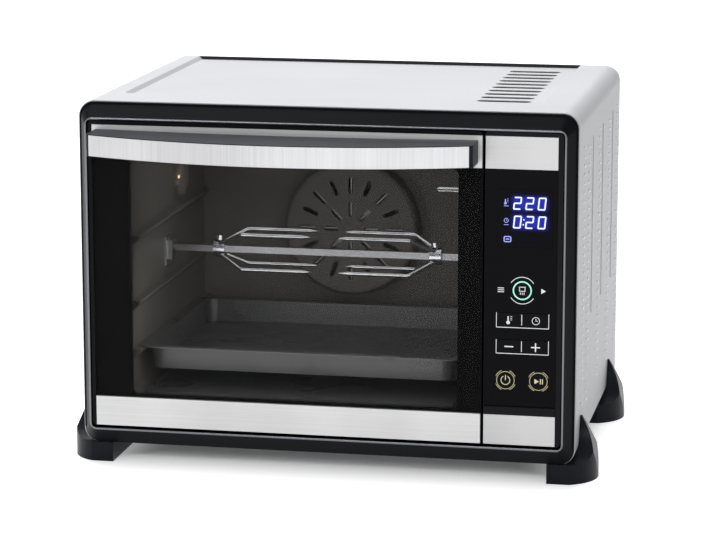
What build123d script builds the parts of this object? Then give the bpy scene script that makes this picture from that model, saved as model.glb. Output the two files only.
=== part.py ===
"""Electric countertop oven with a drop-down glass door, a key panel and a rotisserie.

Working frame, in millimetres: X runs to the right from the middle of the front frame, Y runs
back from the joint between front frame and case, Z runs up from the surface the feet stand on.
Every piece is written about the middle of the oven's footprint, so the object's origin lies
there, at the height of the surface.
"""
from build123d import *
from math import atan2, cos, degrees, radians, sin, sqrt
import os

# Case and front frame
FRAME_WIDTH = 500.0
FRAME_HEIGHT = 350.0
FRAME_CORNER_R = 15.0
FOOT_HEIGHT = 20.0
CASE_DEPTH = 370.0
SHEET = 1.0
BEZEL_DEPTH = 17.0
BEZEL_SIDE = 10.6
BEZEL_TOP = 15.2
BEZEL_BOTTOM = 18.3
BEZEL_WALL = 2.5
RIDGE_R = 7.0
LIP = 1.6
RIDGE_BEAD_R = 0.7
OPEN_R = 4.4
CHANNEL_DROP = 2.1
FLOOR_Y = 3.0
FLOOR_THICK = 2.0
SEAT_GAP = 0.3

# Recess, ribs and vents of the case
RECESS_LEFT = 30.0
RECESS_RIGHT = 43.0
RECESS_FRONT = 58.0
RECESS_DEPTH = 3.5
RECESS_R = 8.0
RECESS_SLOPE = 45.0
VENT_COUNT = 11
VENT_LENGTH = 55.0
VENT_WIDTH = 13.0
VENT_FROM_RECESS_EDGE = 17.0
VENT_FRONT = 70.0
VENT_REAR = 40.0
RIB_DEPTHS = (119.0, 208.0, 301.0)
RIB_TOP = 331.0
RIB_LENGTH = 181.0
RIB_WIDTH = 4.0
RIB_PROUD = 0.8
CURL_FLANGE = 10.0

# Door and handle
FACE_Y = -15.0
DOOR_WIDTH = 395.0
DOOR_GAP = 1.0
DOOR_GAP_BOTTOM = 2.1
DOOR_BACK_Y = 0.0
DOOR_R = 4.0
BORDER_LEFT = 4.0
BORDER_RIGHT = 0.6
BORDER_TOP = 4.1
BORDER_BOTTOM = 0.6
GLASS_THICK = 4.0
TOP_STRIP_HEIGHT = 31.7
BOTTOM_STRIP_HEIGHT = 29.8
STRIP_SHEET = 0.8
WINDOW_STILE_LEFT = 39.8
WINDOW_STILE_RIGHT = 24.2
WINDOW_RAIL_BOTTOM = 32.0
WINDOW_RAIL_TOP = 38.0
WINDOW_R = 6.0
INNER_GLASS_THICK = 3.0
INNER_GLASS_LAP = 5.0
HANDLE_END_INSET = 3.9
HANDLE_STAND_OFF = 35.0
HANDLE_BOW = 38.0
HANDLE_BACK_BOW = 11.0
HANDLE_POST = 16.0
HANDLE_HEIGHT = 22.0
HANDLE_BELOW_STRIP_TOP = 4.5
HANDLE_WALL = 3.0
HANDLE_END_R = 5.0
TRIM_THICK = 1.0
TRIM_BORDER = 0.8
TRIM_END_BORDER = 3.4
HANDLE_SCREW_R = 2.0
HANDLE_BOSS_R = 5.0

# Door hinge and stays
PIVOT_UP = 6.0
PIN_R = 2.0
PIN_CLEARANCE = 0.06
PIN_LENGTH = 16.0
LUG_THICK = 3.0
LUG_R = 5.0
NOTCH_WIDTH = 8.0
NOTCH_INSET = 6.0
NOTCH_R = 8.0
DOOR_OPEN_DEG = 82.0
STAY_R = 76.0
STAY_WIDTH = 8.0
STAY_THICK = 2.0
STAY_LEFT_INSET = 21.0
STAY_RIGHT_INSET = 12.2
STAY_TAB_HEIGHT = 26.0
STAY_TAB_WIDTH = 10.0
STAY_TAB_THICK = 1.5
STAY_TAB_SHIFT = 2.0
STAY_SLOT_CLEARANCE = 1.5
STAY_STOP_DEG = 6.0

# Control panel
PANEL_GAP = 2.0
PANEL_BORDER_LEFT = 0.7
PANEL_BORDER_RIGHT = 5.4
FASCIA_THICK = 3.0
LEDGE_HEIGHT = 9.6
CARRIER_Y = -9.0
CARRIER_THICK = 2.0
HOUSING_WALL = 3.0
KEY_GAP = 0.4
KEY_PROUD = 0.3
KEY_FLANGE = 1.0
KEY_FLANGE_THICK = 1.2
KEY_STEM_R = 1.8
KEY_TRAVEL = 0.8
STEM_CLEARANCE = 0.5
WIDE_KEY_Z = (167.8, 141.4)
WIDE_KEY_HEIGHT = (13.9, 13.0)
WIDE_KEY_WIDTH = 24.6
WIDE_KEY_X = (185.9, 211.2)
ROUND_KEYS = {"function": (198.0, 197.5, 9.8), "power": (182.4, 107.6, 9.2), "start": (214.8, 107.6, 9.2)}
DISPLAY_WIDTH = 54.0
DISPLAY_HEIGHT = 57.0
DISPLAY_X = 200.0
DISPLAY_Z = 268.5
BOARD_Y = -4.4
BOARD_THICK = 1.6
SWITCH_SIZE = 6.0
SWITCH_HEIGHT = 1.1

# Cavity
CAVITY_LEFT = -202.0
CAVITY_WIDTH = 340.0
CAVITY_BOTTOM = 68.0
CAVITY_HEIGHT = 250.0
CAVITY_DEPTH = 306.0
CAVITY_R = 10.0
FLANGE_MARGIN = 12.0
SEAL_WIDTH = 3.7
SEAL_GAP = 0.4
RAIL_PROUD = 8.0
RAIL_HEIGHT = 5.0
RAIL_TOPS = (115.0, 165.0, 232.0)
RAIL_START = 8.0
RAIL_END_CLEARANCE = 8.0

# Heaters
HEATER_R = 3.5
HEATER_SPAN = 130.0
HEATER_REACH = 312.0
HEATER_WALL_DISTANCE = 16.0
HEATER_BEND_R = 24.0
HEATER_TAIL = 22.0
INSULATOR_R = 7.0
INSULATOR_LENGTH = 9.0
HANGER_THICK = 1.5
HANGER_CLEARANCE = 0.05

# Fan
FAN_GUARD_R = 74.0
FAN_GUARD_DEPTH = 24.0
FAN_BLADE_R = 60.0
FAN_BLADE_COUNT = 8
FAN_BLADE_DEPTH = 13.0
FAN_SHAFT_R = 3.0
FAN_MOTOR_R = 28.0
FAN_MOTOR_LENGTH = 40.0

# Rotisserie
SPIT_Z = 195.0
SPIT_SIZE = 7.0
SPIT_JOURNAL_R = 3.0
SOCKET_R = 9.0
SOCKET_LENGTH = 16.0
SOCKET_SHAFT_R = 4.0
MOTOR_WIDTH = 50.0
MOTOR_DEPTH = 28.0
FORK_LEFT_X = -145.0
FORK_RIGHT_X = 85.0
FORK_HUB_R = 9.0
FORK_HUB_LENGTH = 12.0
FORK_TINE_R = 2.0
FORK_TINE_SPREAD = 26.0
FORK_TINE_LENGTH = 66.0
FORK_TINE_LEAN = 20.0
SPIT_FIT = 0.3
JOURNAL_CLEARANCE = 0.08

# Trays
TRAY_FRONT_Y = 22.0
TRAY_DEPTH = 252.0
TRAY_HEIGHT = 24.0
TRAY_SHEET = 1.2
TRAY_RIM = 9.0
TRAY_SIDE_CLEARANCE = 3.0
TRAY_REST_GAP = 0.3
CRUMB_SHEET = 0.8
CRUMB_RIM = 5.0
CRUMB_INSET = 2.0

# Lamp and probe
LAMP_Y = 197.0
LAMP_Z = 262.0
LAMP_COVER_R = 19.0
LAMP_COVER_DEPTH = 9.0
LAMP_BULB_R = 8.0
PROBE_R = 2.5
PROBE_LENGTH = 38.0

# Rear panel, base and feet
REAR_THICK = 1.2
SCREW_HEAD_R = 4.0
SCREW_HEAD = 1.8
GLAND_X = 205.0
GLAND_Z = 58.0
GLAND_R = 8.0
GLAND_FLANGE_R = 11.0
GLAND_BORE_R = 3.6
GLAND_PROUD = 8.0
BASE_INSET = 1.0
FOOT_INNER = 221.5
FOOT_OUTER = 269.0
FOOT_LENGTH = 76.0
FRONT_FOOT_Y = 40.0
REAR_FOOT_Y = 290.0
FIN_TOP = 62.0
FIN_TIP_HALF = 2.2
FIN_TIP_THICK = 2.0
FIN_FLARE_Z = 33.0
FIN_SHEET_GAP = 0.4

# Places worked out from the sizes above
HALF_W = FRAME_WIDTH / 2
FRAME_BOTTOM = FOOT_HEIGHT
FRAME_TOP = FRAME_BOTTOM + FRAME_HEIGHT
CASE_BOTTOM = FRAME_BOTTOM + SHEET
CASE_R = FRAME_CORNER_R + SHEET
RIDGE_Y = -BEZEL_DEPTH
RIDGE_X = HALF_W - BEZEL_SIDE
RIDGE_BOTTOM = FRAME_BOTTOM + BEZEL_BOTTOM
RIDGE_TOP = FRAME_TOP - BEZEL_TOP
OPEN_X = RIDGE_X - LIP
OPEN_BOTTOM = RIDGE_BOTTOM + LIP
OPEN_TOP = RIDGE_TOP - LIP
DOOR_LEFT = -OPEN_X + DOOR_GAP
DOOR_RIGHT = DOOR_LEFT + DOOR_WIDTH
DOOR_BOTTOM = OPEN_BOTTOM + DOOR_GAP_BOTTOM
DOOR_TOP = OPEN_TOP - DOOR_GAP
STRIP_LEFT = DOOR_LEFT + BORDER_LEFT
STRIP_RIGHT = DOOR_RIGHT - BORDER_RIGHT
STRIP_TOP = DOOR_TOP - BORDER_TOP
STRIP_BOTTOM = DOOR_BOTTOM + BORDER_BOTTOM
GLASS_TOP = STRIP_TOP - TOP_STRIP_HEIGHT
GLASS_BOTTOM = STRIP_BOTTOM + BOTTOM_STRIP_HEIGHT
LEAF_Y = FACE_Y + GLASS_THICK
PIVOT_Y = (FACE_Y + DOOR_BACK_Y) / 2
PIVOT_Z = DOOR_BOTTOM + PIVOT_UP
PANEL_LEFT = DOOR_RIGHT + PANEL_GAP
PANEL_RIGHT = OPEN_X - DOOR_GAP
FASCIA_LEFT = PANEL_LEFT + PANEL_BORDER_LEFT
FASCIA_RIGHT = PANEL_RIGHT - PANEL_BORDER_RIGHT
FASCIA_Y = FACE_Y + FASCIA_THICK
FLANGE_Y = FLOOR_Y + FLOOR_THICK
CAVITY_Y = FLANGE_Y + SHEET
CAVITY_BACK = CAVITY_Y + CAVITY_DEPTH
CAVITY_RIGHT = CAVITY_LEFT + CAVITY_WIDTH
CAVITY_TOP = CAVITY_BOTTOM + CAVITY_HEIGHT
CAVITY_MID_X = (CAVITY_LEFT + CAVITY_RIGHT) / 2
SPIT_Y = CAVITY_Y + CAVITY_DEPTH / 2 - 4
HANDLE_END_Y = FACE_Y - HANDLE_STAND_OFF
HANDLE_FRONT_Y = HANDLE_END_Y - HANDLE_BOW
HANDLE_X = (STRIP_LEFT + STRIP_RIGHT) / 2
HANDLE_HALF = (STRIP_RIGHT - STRIP_LEFT) / 2 - HANDLE_END_INSET
HANDLE_TOP = STRIP_TOP - HANDLE_BELOW_STRIP_TOP
HANDLE_BOTTOM = HANDLE_TOP - HANDLE_HEIGHT
HANDLE_SCREW_Z = (HANDLE_TOP + HANDLE_BOTTOM) / 2
HANDLE_SCREW_X = HANDLE_HALF - HANDLE_POST / 2 - HANDLE_WALL / 2
REAR_Y = CASE_DEPTH
GLAND_BACK = REAR_Y + REAR_THICK + GLAND_PROUD
FOOTPRINT_MID = (HANDLE_FRONT_Y + GLAND_BACK) / 2


def front_plane(y):
    """Upright plane at depth y that faces forward, with X and Z as its local axes."""
    return Plane((0, y, 0), x_dir=(1, 0, 0), z_dir=(0, -1, 0))


def side_plane(x):
    """Upright plane at x that faces right, with Y and Z as its local axes."""
    return Plane((x, 0, 0), x_dir=(0, 1, 0), z_dir=(1, 0, 0))


def outline(x0, x1, z0, z1, y, radius=0.0):
    """Upright rectangle, with round corners where a radius is given."""
    shape = RectangleRounded(x1 - x0, z1 - z0, radius) if radius else Rectangle(x1 - x0, z1 - z0)
    return front_plane(y) * Pos((x0 + x1) / 2, (z0 + z1) / 2) * shape


def slab(x0, x1, z0, z1, y0, y1, radius=0.0):
    """Upright plate from depth y0 back to y1."""
    return extrude(outline(x0, x1, z0, z1, y1, radius), amount=y1 - y0)


def block(x0, x1, y0, y1, z0, z1):
    """Box between two corners."""
    return Pos((x0 + x1) / 2, (y0 + y1) / 2, (z0 + z1) / 2) * Box(x1 - x0, y1 - y0, z1 - z0)


def rod_x(x0, x1, y, z, radius):
    """Round bar along X."""
    return Pos((x0 + x1) / 2, y, z) * Rot(0, 90, 0) * Cylinder(radius, x1 - x0)


def rod_y(y0, y1, x, z, radius):
    """Round bar along Y."""
    return Pos(x, (y0 + y1) / 2, z) * Rot(90, 0, 0) * Cylinder(radius, y1 - y0)


def rod_z(z0, z1, x, y, radius):
    """Round bar along Z."""
    return Pos(x, y, (z0 + z1) / 2) * Cylinder(radius, z1 - z0)


def joined(pieces):
    """One compound of separate solids."""
    return Compound(children=[solid for piece in pieces for solid in piece.solids()])


# Front frame and case


def front_frame():
    """Bevelled surround, its inner channel, and the floor that carries door seal and panel."""
    back = outline(-HALF_W + SHEET, HALF_W - SHEET, FRAME_BOTTOM + SHEET, FRAME_TOP - SHEET, 0, FRAME_CORNER_R)
    ridge = outline(-RIDGE_X, RIDGE_X, RIDGE_BOTTOM, RIDGE_TOP, RIDGE_Y, RIDGE_R)
    bezel = loft([back, ridge])
    wall = BEZEL_WALL
    inset = SHEET + wall
    hollow_back = outline(-HALF_W + inset, HALF_W - inset, FRAME_BOTTOM + inset, FRAME_TOP - inset, 0,
                          FRAME_CORNER_R - wall)
    hollow_ridge = outline(-RIDGE_X + wall, RIDGE_X - wall, RIDGE_BOTTOM + wall, RIDGE_TOP - wall,
                           RIDGE_Y + wall, RIDGE_R - wall)
    hollow = loft([hollow_back, hollow_ridge])
    channel_bottom = OPEN_BOTTOM - CHANNEL_DROP
    tube = slab(-OPEN_X - wall, OPEN_X + wall, channel_bottom - wall, OPEN_TOP + wall, RIDGE_Y + wall,
                FLANGE_Y, OPEN_R)
    tongue_gap = SHEET + SEAT_GAP
    tongue = slab(-HALF_W + tongue_gap, HALF_W - tongue_gap, FRAME_BOTTOM, FRAME_TOP - tongue_gap, -wall,
                  FLOOR_Y, CASE_R - tongue_gap)
    tongue -= slab(-HALF_W + wall + tongue_gap, HALF_W - wall - tongue_gap, FRAME_BOTTOM + wall,
                   FRAME_TOP - wall - tongue_gap, -2 * wall, FLOOR_Y, CASE_R - wall - tongue_gap)
    tongue -= block(-HALF_W, HALF_W, -2 * wall, FLOOR_Y, 0, CASE_BOTTOM + CASE_R)
    frame = (bezel - hollow) + (tube & (bezel + slab(-HALF_W, HALF_W, 0, FRAME_TOP, 0, FLANGE_Y))) + tongue
    frame -= slab(-OPEN_X, OPEN_X, OPEN_BOTTOM, OPEN_TOP, RIDGE_Y - 1, RIDGE_Y + LIP, OPEN_R)
    frame = fillet(frame.edges().filter_by_position(Axis.Y, RIDGE_Y, RIDGE_Y), RIDGE_BEAD_R)
    frame -= slab(-OPEN_X, OPEN_X, channel_bottom, OPEN_TOP, RIDGE_Y + LIP, FLOOR_Y, OPEN_R - LIP)
    mouth = SEAL_WIDTH + SEAT_GAP
    frame -= slab(CAVITY_LEFT - mouth, CAVITY_RIGHT + mouth, CAVITY_BOTTOM - mouth, CAVITY_TOP + mouth,
                  FLOOR_Y, FLANGE_Y, CAVITY_R + mouth)
    frame -= slab(PANEL_LEFT + HOUSING_WALL + SEAT_GAP, PANEL_RIGHT - HOUSING_WALL - SEAT_GAP,
                  GLASS_BOTTOM, GLASS_TOP, FLOOR_Y, FLANGE_Y, OPEN_R)
    for x in stay_places():
        frame -= stay_slot(x, FLOOR_Y, FLANGE_Y)
    return frame


def case_section(inset, bottom=CASE_BOTTOM):
    """Wrapped outline of the case, drawn in by inset all round; negative grows it."""
    return outline(-HALF_W + inset, HALF_W - inset, bottom + inset, FRAME_TOP - inset, CASE_DEPTH,
                   CASE_R - inset)


def recess_box(grow, z_top, depth):
    """Sunken panel in the roof: sloped sides, round front corners, open at the rear."""
    left = -HALF_W + RECESS_LEFT - grow
    right = HALF_W - RECESS_RIGHT + grow
    front = RECESS_FRONT - grow
    back = CASE_DEPTH + 4 * RECESS_R
    shape = Plane.XY.offset(z_top) * Pos((left + right) / 2, (front + back) / 2) * RectangleRounded(
        right - left, back - front, RECESS_R + grow)
    return extrude(shape, amount=-depth, taper=RECESS_SLOPE)


def outer_case():
    """Wrapped sheet of roof and sides, with the sunken roof panel, its vents and the side ribs."""
    shell = extrude(case_section(0), amount=CASE_DEPTH) - extrude(case_section(SHEET), amount=CASE_DEPTH)
    gap = HALF_W - CASE_R - CURL_FLANGE
    shell -= block(-gap, gap, 0, CASE_DEPTH, FRAME_BOTTOM, CASE_BOTTOM + 2 * SHEET)
    pan = recess_box(SHEET, FRAME_TOP - SHEET / 2, RECESS_DEPTH + SHEET / 2)
    shell += pan & block(-HALF_W, HALF_W, 0, CASE_DEPTH, FRAME_BOTTOM, FRAME_TOP)
    shell -= recess_box(0, FRAME_TOP, RECESS_DEPTH)
    vent_x = HALF_W - RECESS_RIGHT - VENT_FROM_RECESS_EDGE - VENT_LENGTH / 2
    pitch = (CASE_DEPTH - VENT_REAR - VENT_FRONT) / (VENT_COUNT - 1)
    for number in range(VENT_COUNT):
        vent = Plane.XY.offset(FRAME_TOP) * Pos(vent_x, VENT_FRONT + number * pitch) * SlotOverall(
            VENT_LENGTH, VENT_WIDTH)
        shell -= extrude(vent, amount=-2 * (RECESS_DEPTH + SHEET))
    rib_z = RIB_TOP - RIB_LENGTH / 2
    for y in RIB_DEPTHS:
        for side in (-1, 1):
            x = side * (HALF_W + RIB_PROUD / 2 - SHEET / 4)
            rib = Pos(x, y, rib_z) * Box(RIB_PROUD + SHEET / 2, RIB_WIDTH, RIB_LENGTH)
            shell += chamfer(rib.edges().filter_by(Axis.X, reverse=True).group_by(Axis.X)[-1 if side > 0 else 0],
                             RIB_PROUD * 0.9)
    return shell


def rear_panel():
    """Rear sheet with louvre slots behind fan and electronics and a hole for the cord bush."""
    panel = Pos(0, REAR_THICK, 0) * extrude(case_section(0), amount=REAR_THICK)
    rows = 9
    pitch = 12.0
    for number in range(rows):
        z = SPIT_Z + (number - (rows - 1) / 2) * pitch
        for x, length in ((CAVITY_MID_X, 90.0), (HALF_W - 50.0, 50.0)):
            slot = front_plane(REAR_Y + 2 * REAR_THICK) * Pos(x, z) * SlotOverall(length, 5.0)
            panel -= extrude(slot, amount=3 * REAR_THICK)
    panel -= rod_y(REAR_Y - 1, REAR_Y + 2 * REAR_THICK, GLAND_X, GLAND_Z, GLAND_R + PIN_CLEARANCE)
    return panel


def screw_places():
    """X and Z of the rear panel's screws."""
    low, high = FRAME_BOTTOM + 14, FRAME_TOP - 14
    side = HALF_W - 14
    return [(-side, low), (0, low), (side, low), (-side, high), (0, high), (side, high)]


def rear_screws():
    """Domed screw heads on the rear panel."""
    back = REAR_Y + REAR_THICK
    heads = []
    for x, z in screw_places():
        head = rod_y(back, back + SCREW_HEAD, x, z, SCREW_HEAD_R)
        heads.append(chamfer(head.edges().sort_by(Axis.Y)[-1], SCREW_HEAD / 2))
    return joined(heads)


def base_plate():
    """Floor sheet that rests on the case's turned-in edges and carries the feet."""
    edge = HALF_W - CASE_R - BASE_INSET
    plate = block(-edge, edge, FLANGE_Y, CASE_DEPTH - SEAT_GAP, FRAME_BOTTOM, CASE_BOTTOM)
    rows = 8
    for number in range(rows):
        slot = Plane.XY.offset(FRAME_BOTTOM) * Pos(HALF_W - 65, 120 + 14 * number) * SlotOverall(46, 4)
        plate -= extrude(slot, amount=SHEET)
    return plate


def foot_plan(side, y_mid):
    """Outline of a foot from above: straight inside, bulging outside."""
    half = FOOT_LENGTH / 2
    inner, shoulder, outer = side * FOOT_INNER, side * (HALF_W - 6), side * FOOT_OUTER
    edges = [
        Line((inner, y_mid - half), (shoulder, y_mid - half)),
        ThreePointArc((shoulder, y_mid - half), (outer, y_mid), (shoulder, y_mid + half)),
        Line((shoulder, y_mid + half), (inner, y_mid + half)),
        Line((inner, y_mid + half), (inner, y_mid - half)),
    ]
    return make_face(edges)


def foot(side, y_mid):
    """Moulded foot: a block under the case that wraps its lower edge and rises to a point beside it."""
    half = FOOT_LENGTH / 2
    front, back = y_mid - half, y_mid + half
    shoulder = FOOT_HEIGHT - 2
    flare = [
        ThreePointArc((front, shoulder), (y_mid - half * 0.34, FIN_FLARE_Z), (y_mid - FIN_TIP_HALF, FIN_TOP)),
        Line((y_mid - FIN_TIP_HALF, FIN_TOP), (y_mid + FIN_TIP_HALF, FIN_TOP)),
        ThreePointArc((y_mid + FIN_TIP_HALF, FIN_TOP), (y_mid + half * 0.42, FIN_FLARE_Z), (back, shoulder)),
        Line((back, shoulder), (back, 0)),
        Line((back, 0), (front, 0)),
        Line((front, 0), (front, shoulder)),
    ]
    spire = extrude(side_plane(0) * make_face(flare), amount=side * (FOOT_OUTER + 1))
    spire += block(-FOOT_OUTER, FOOT_OUTER, front, back, 0, FOOT_HEIGHT)
    inner, outer, tip = side * FOOT_INNER, side * FOOT_OUTER, side * (HALF_W + FIN_TIP_THICK)
    bulge = side * (HALF_W + 0.7 * (FOOT_OUTER - HALF_W))
    ogive = [
        Line((inner, 0), (outer, 0)),
        ThreePointArc((outer, 0), (bulge, FIN_TOP * 0.6), (tip, FIN_TOP)),
        Line((tip, FIN_TOP), (inner, FIN_TOP)),
        Line((inner, FIN_TOP), (inner, 0)),
    ]
    body = extrude(foot_plan(side, y_mid), amount=FIN_TOP) & spire
    body &= extrude(front_plane(back) * make_face(ogive), amount=FOOT_LENGTH)
    body -= extrude(case_section(-FIN_SHEET_GAP), amount=CASE_DEPTH)
    return body - block(-HALF_W + CASE_R, HALF_W - CASE_R, 0, CASE_DEPTH, FOOT_HEIGHT, FIN_TOP)


def cord_gland():
    """Round bush in the rear panel that the supply lead would pass."""
    back = REAR_Y + REAR_THICK
    bush = rod_y(REAR_Y - 6, back + GLAND_PROUD, GLAND_X, GLAND_Z, GLAND_R)
    bush += rod_y(back, back + 2, GLAND_X, GLAND_Z, GLAND_FLANGE_R)
    bush = chamfer(bush.edges().sort_by(Axis.Y)[-1], 2)
    return bush - rod_y(REAR_Y - 7, GLAND_BACK + 1, GLAND_X, GLAND_Z, GLAND_BORE_R)


# Door


def stay_places():
    """X of the middle of the two door stays."""
    return DOOR_LEFT + STAY_LEFT_INSET, DOOR_RIGHT - STAY_RIGHT_INSET


def stay_sector(radius0, radius1, angle0, angle1, x, thick):
    """Slice of a ring about the door's pivot; angles in degrees from up towards the back."""
    ring = side_plane(x - thick / 2) * Pos(PIVOT_Y, PIVOT_Z) * (Circle(radius1) - Circle(radius0))
    solid = extrude(ring, amount=thick)
    reach = 2 * radius1
    middle = radians((angle0 + angle1) / 2)
    half = radians((angle1 - angle0) / 2)
    far = reach / cos(half)
    corners = [(PIVOT_Y, PIVOT_Z)]
    for angle in (middle - half, middle + half):
        corners.append((PIVOT_Y + far * sin(angle), PIVOT_Z + far * cos(angle)))
    wedge = side_plane(x - thick) * make_face(Polyline(*corners, close=True))
    return solid & extrude(wedge, amount=2 * thick)


def stay_slot(x, y0, y1):
    """Opening that a stay passes through."""
    depth = y1 - PIVOT_Y
    inner, outer = STAY_R - STAY_WIDTH / 2, STAY_R + STAY_WIDTH / 2
    low = PIVOT_Z + sqrt(inner ** 2 - depth ** 2) - STAY_SLOT_CLEARANCE
    high = PIVOT_Z + outer + STAY_SLOT_CLEARANCE
    half = STAY_THICK / 2 + STAY_SLOT_CLEARANCE
    return block(x - half, x + half, y0, y1, low, high)


def door_stays():
    """Two arc-shaped arms that follow the door and stop it when it is down."""
    arms = []
    inner, outer = STAY_R - STAY_WIDTH / 2, STAY_R + STAY_WIDTH / 2
    start = degrees(atan2(DOOR_BACK_Y - PIVOT_Y, STAY_R))
    stop = DOOR_OPEN_DEG + degrees(atan2(CAVITY_Y + SEAT_GAP - PIVOT_Y, STAY_R - 2 * STAY_WIDTH))
    for side, x in zip((-1, 1), stay_places()):
        arm = stay_sector(inner, outer, start, stop + 1, x, STAY_THICK)
        arm += stay_sector(inner - STAY_WIDTH / 2, outer + STAY_WIDTH / 2, stop, stop + STAY_STOP_DEG, x,
                           STAY_THICK)
        tab_x, tab_z = x + side * STAY_TAB_SHIFT, PIVOT_Z + STAY_R
        arm += block(tab_x - STAY_TAB_WIDTH / 2, tab_x + STAY_TAB_WIDTH / 2, DOOR_BACK_Y,
                     DOOR_BACK_Y + STAY_TAB_THICK, tab_z - STAY_TAB_HEIGHT / 2, tab_z + STAY_TAB_HEIGHT / 2)
        arms.append(arm - block(x - STAY_TAB_WIDTH, x + STAY_TAB_WIDTH, FACE_Y, DOOR_BACK_Y, 0, FRAME_TOP))
    return joined(arms)


def notch_places():
    """X of the middle of the hinge notch at each end of the door."""
    return DOOR_LEFT + NOTCH_INSET + NOTCH_WIDTH / 2, DOOR_RIGHT - NOTCH_INSET - NOTCH_WIDTH / 2 + 2


def window():
    """Left, right, bottom and top of the door's window."""
    return (DOOR_LEFT + WINDOW_STILE_LEFT, DOOR_RIGHT - WINDOW_STILE_RIGHT, DOOR_BOTTOM + WINDOW_RAIL_BOTTOM,
            DOOR_TOP - WINDOW_RAIL_TOP)


def door_frame():
    """Leaf of the door: a ring with a raised border, a glass rebate and hinge notches."""
    left, right, bottom, top = window()
    leaf = slab(DOOR_LEFT, DOOR_RIGHT, DOOR_BOTTOM, DOOR_TOP, FACE_Y, DOOR_BACK_Y, DOOR_R)
    leaf -= slab(STRIP_LEFT - SEAT_GAP, DOOR_RIGHT + 1, DOOR_BOTTOM - 1, STRIP_TOP + SEAT_GAP, FACE_Y, LEAF_Y)
    leaf -= slab(left, right, bottom, top, LEAF_Y, DOOR_BACK_Y, WINDOW_R)
    lap = INNER_GLASS_LAP
    rebate_y = DOOR_BACK_Y - INNER_GLASS_THICK
    leaf -= slab(left - lap, right + lap, bottom - lap, top + lap, rebate_y, DOOR_BACK_Y, WINDOW_R + lap)
    for x in notch_places():
        leaf -= block(x - NOTCH_WIDTH / 2, x + NOTCH_WIDTH / 2, PIVOT_Y - LUG_R - 1, DOOR_BACK_Y,
                      DOOR_BOTTOM, PIVOT_Z + NOTCH_R)
        leaf -= rod_x(x - PIN_LENGTH / 2 - SEAT_GAP, x + PIN_LENGTH / 2 + SEAT_GAP, PIVOT_Y, PIVOT_Z,
                      PIN_R + PIN_CLEARANCE)
    for side in (-1, 1):
        leaf -= rod_y(LEAF_Y, DOOR_BACK_Y, HANDLE_X + side * HANDLE_SCREW_X, HANDLE_SCREW_Z, HANDLE_SCREW_R + 0.3)
    return leaf


def hinge_brackets():
    """Lugs on the floor of the front frame that hold the door's pins."""
    lugs = []
    for x in notch_places():
        half = LUG_THICK / 2
        lug = rod_x(x - half, x + half, PIVOT_Y, PIVOT_Z, LUG_R)
        lug += block(x - half, x + half, PIVOT_Y, FLOOR_Y, PIVOT_Z - LUG_R, PIVOT_Z + LUG_R)
        lug -= rod_x(x - LUG_THICK, x + LUG_THICK, PIVOT_Y, PIVOT_Z, PIN_R + PIN_CLEARANCE / 2)
        lugs.append(lug)
    return joined(lugs)


def hinge_pins():
    """Steel pins that the door turns on."""
    return joined([rod_x(x - PIN_LENGTH / 2, x + PIN_LENGTH / 2, PIVOT_Y, PIVOT_Z, PIN_R) for x in notch_places()])


def door_outer_glass():
    """Front pane between the two metal strips."""
    return slab(STRIP_LEFT, STRIP_RIGHT, GLASS_BOTTOM, GLASS_TOP, FACE_Y, LEAF_Y)


def door_inner_glass():
    """Rear pane in its rebate."""
    left, right, bottom, top = window()
    lap = INNER_GLASS_LAP - SEAT_GAP
    return slab(left - lap, right + lap, bottom - lap, top + lap, DOOR_BACK_Y - INNER_GLASS_THICK,
                DOOR_BACK_Y - SEAT_GAP, WINDOW_R + lap)


def strip(left, right, bottom, top):
    """Folded sheet cap: a face with edges turned back."""
    cap = slab(left, right, bottom, top, FACE_Y, LEAF_Y)
    return cap - slab(left + STRIP_SHEET, right - STRIP_SHEET, bottom + STRIP_SHEET, top - STRIP_SHEET,
                      FACE_Y + STRIP_SHEET, LEAF_Y)


def door_top_strip():
    """Upper metal strip of the door, with holes for the handle's screws."""
    cap = strip(STRIP_LEFT, STRIP_RIGHT, GLASS_TOP, STRIP_TOP)
    for side in (-1, 1):
        cap -= rod_y(FACE_Y, LEAF_Y, HANDLE_X + side * HANDLE_SCREW_X, HANDLE_SCREW_Z, HANDLE_SCREW_R + 0.3)
    return cap


def door_bottom_strip():
    """Lower metal strip of the door, its folded edge notched at the hinge lugs."""
    cap = strip(STRIP_LEFT, STRIP_RIGHT, STRIP_BOTTOM, GLASS_BOTTOM)
    for x in notch_places():
        cap -= block(x - NOTCH_WIDTH / 2, x + NOTCH_WIDTH / 2, FACE_Y + STRIP_SHEET, LEAF_Y, STRIP_BOTTOM,
                     STRIP_BOTTOM + STRIP_SHEET)
    return cap


def handle_radius():
    """Radius of the handle's front curve."""
    return (HANDLE_HALF ** 2 + HANDLE_BOW ** 2) / (2 * HANDLE_BOW)


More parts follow.
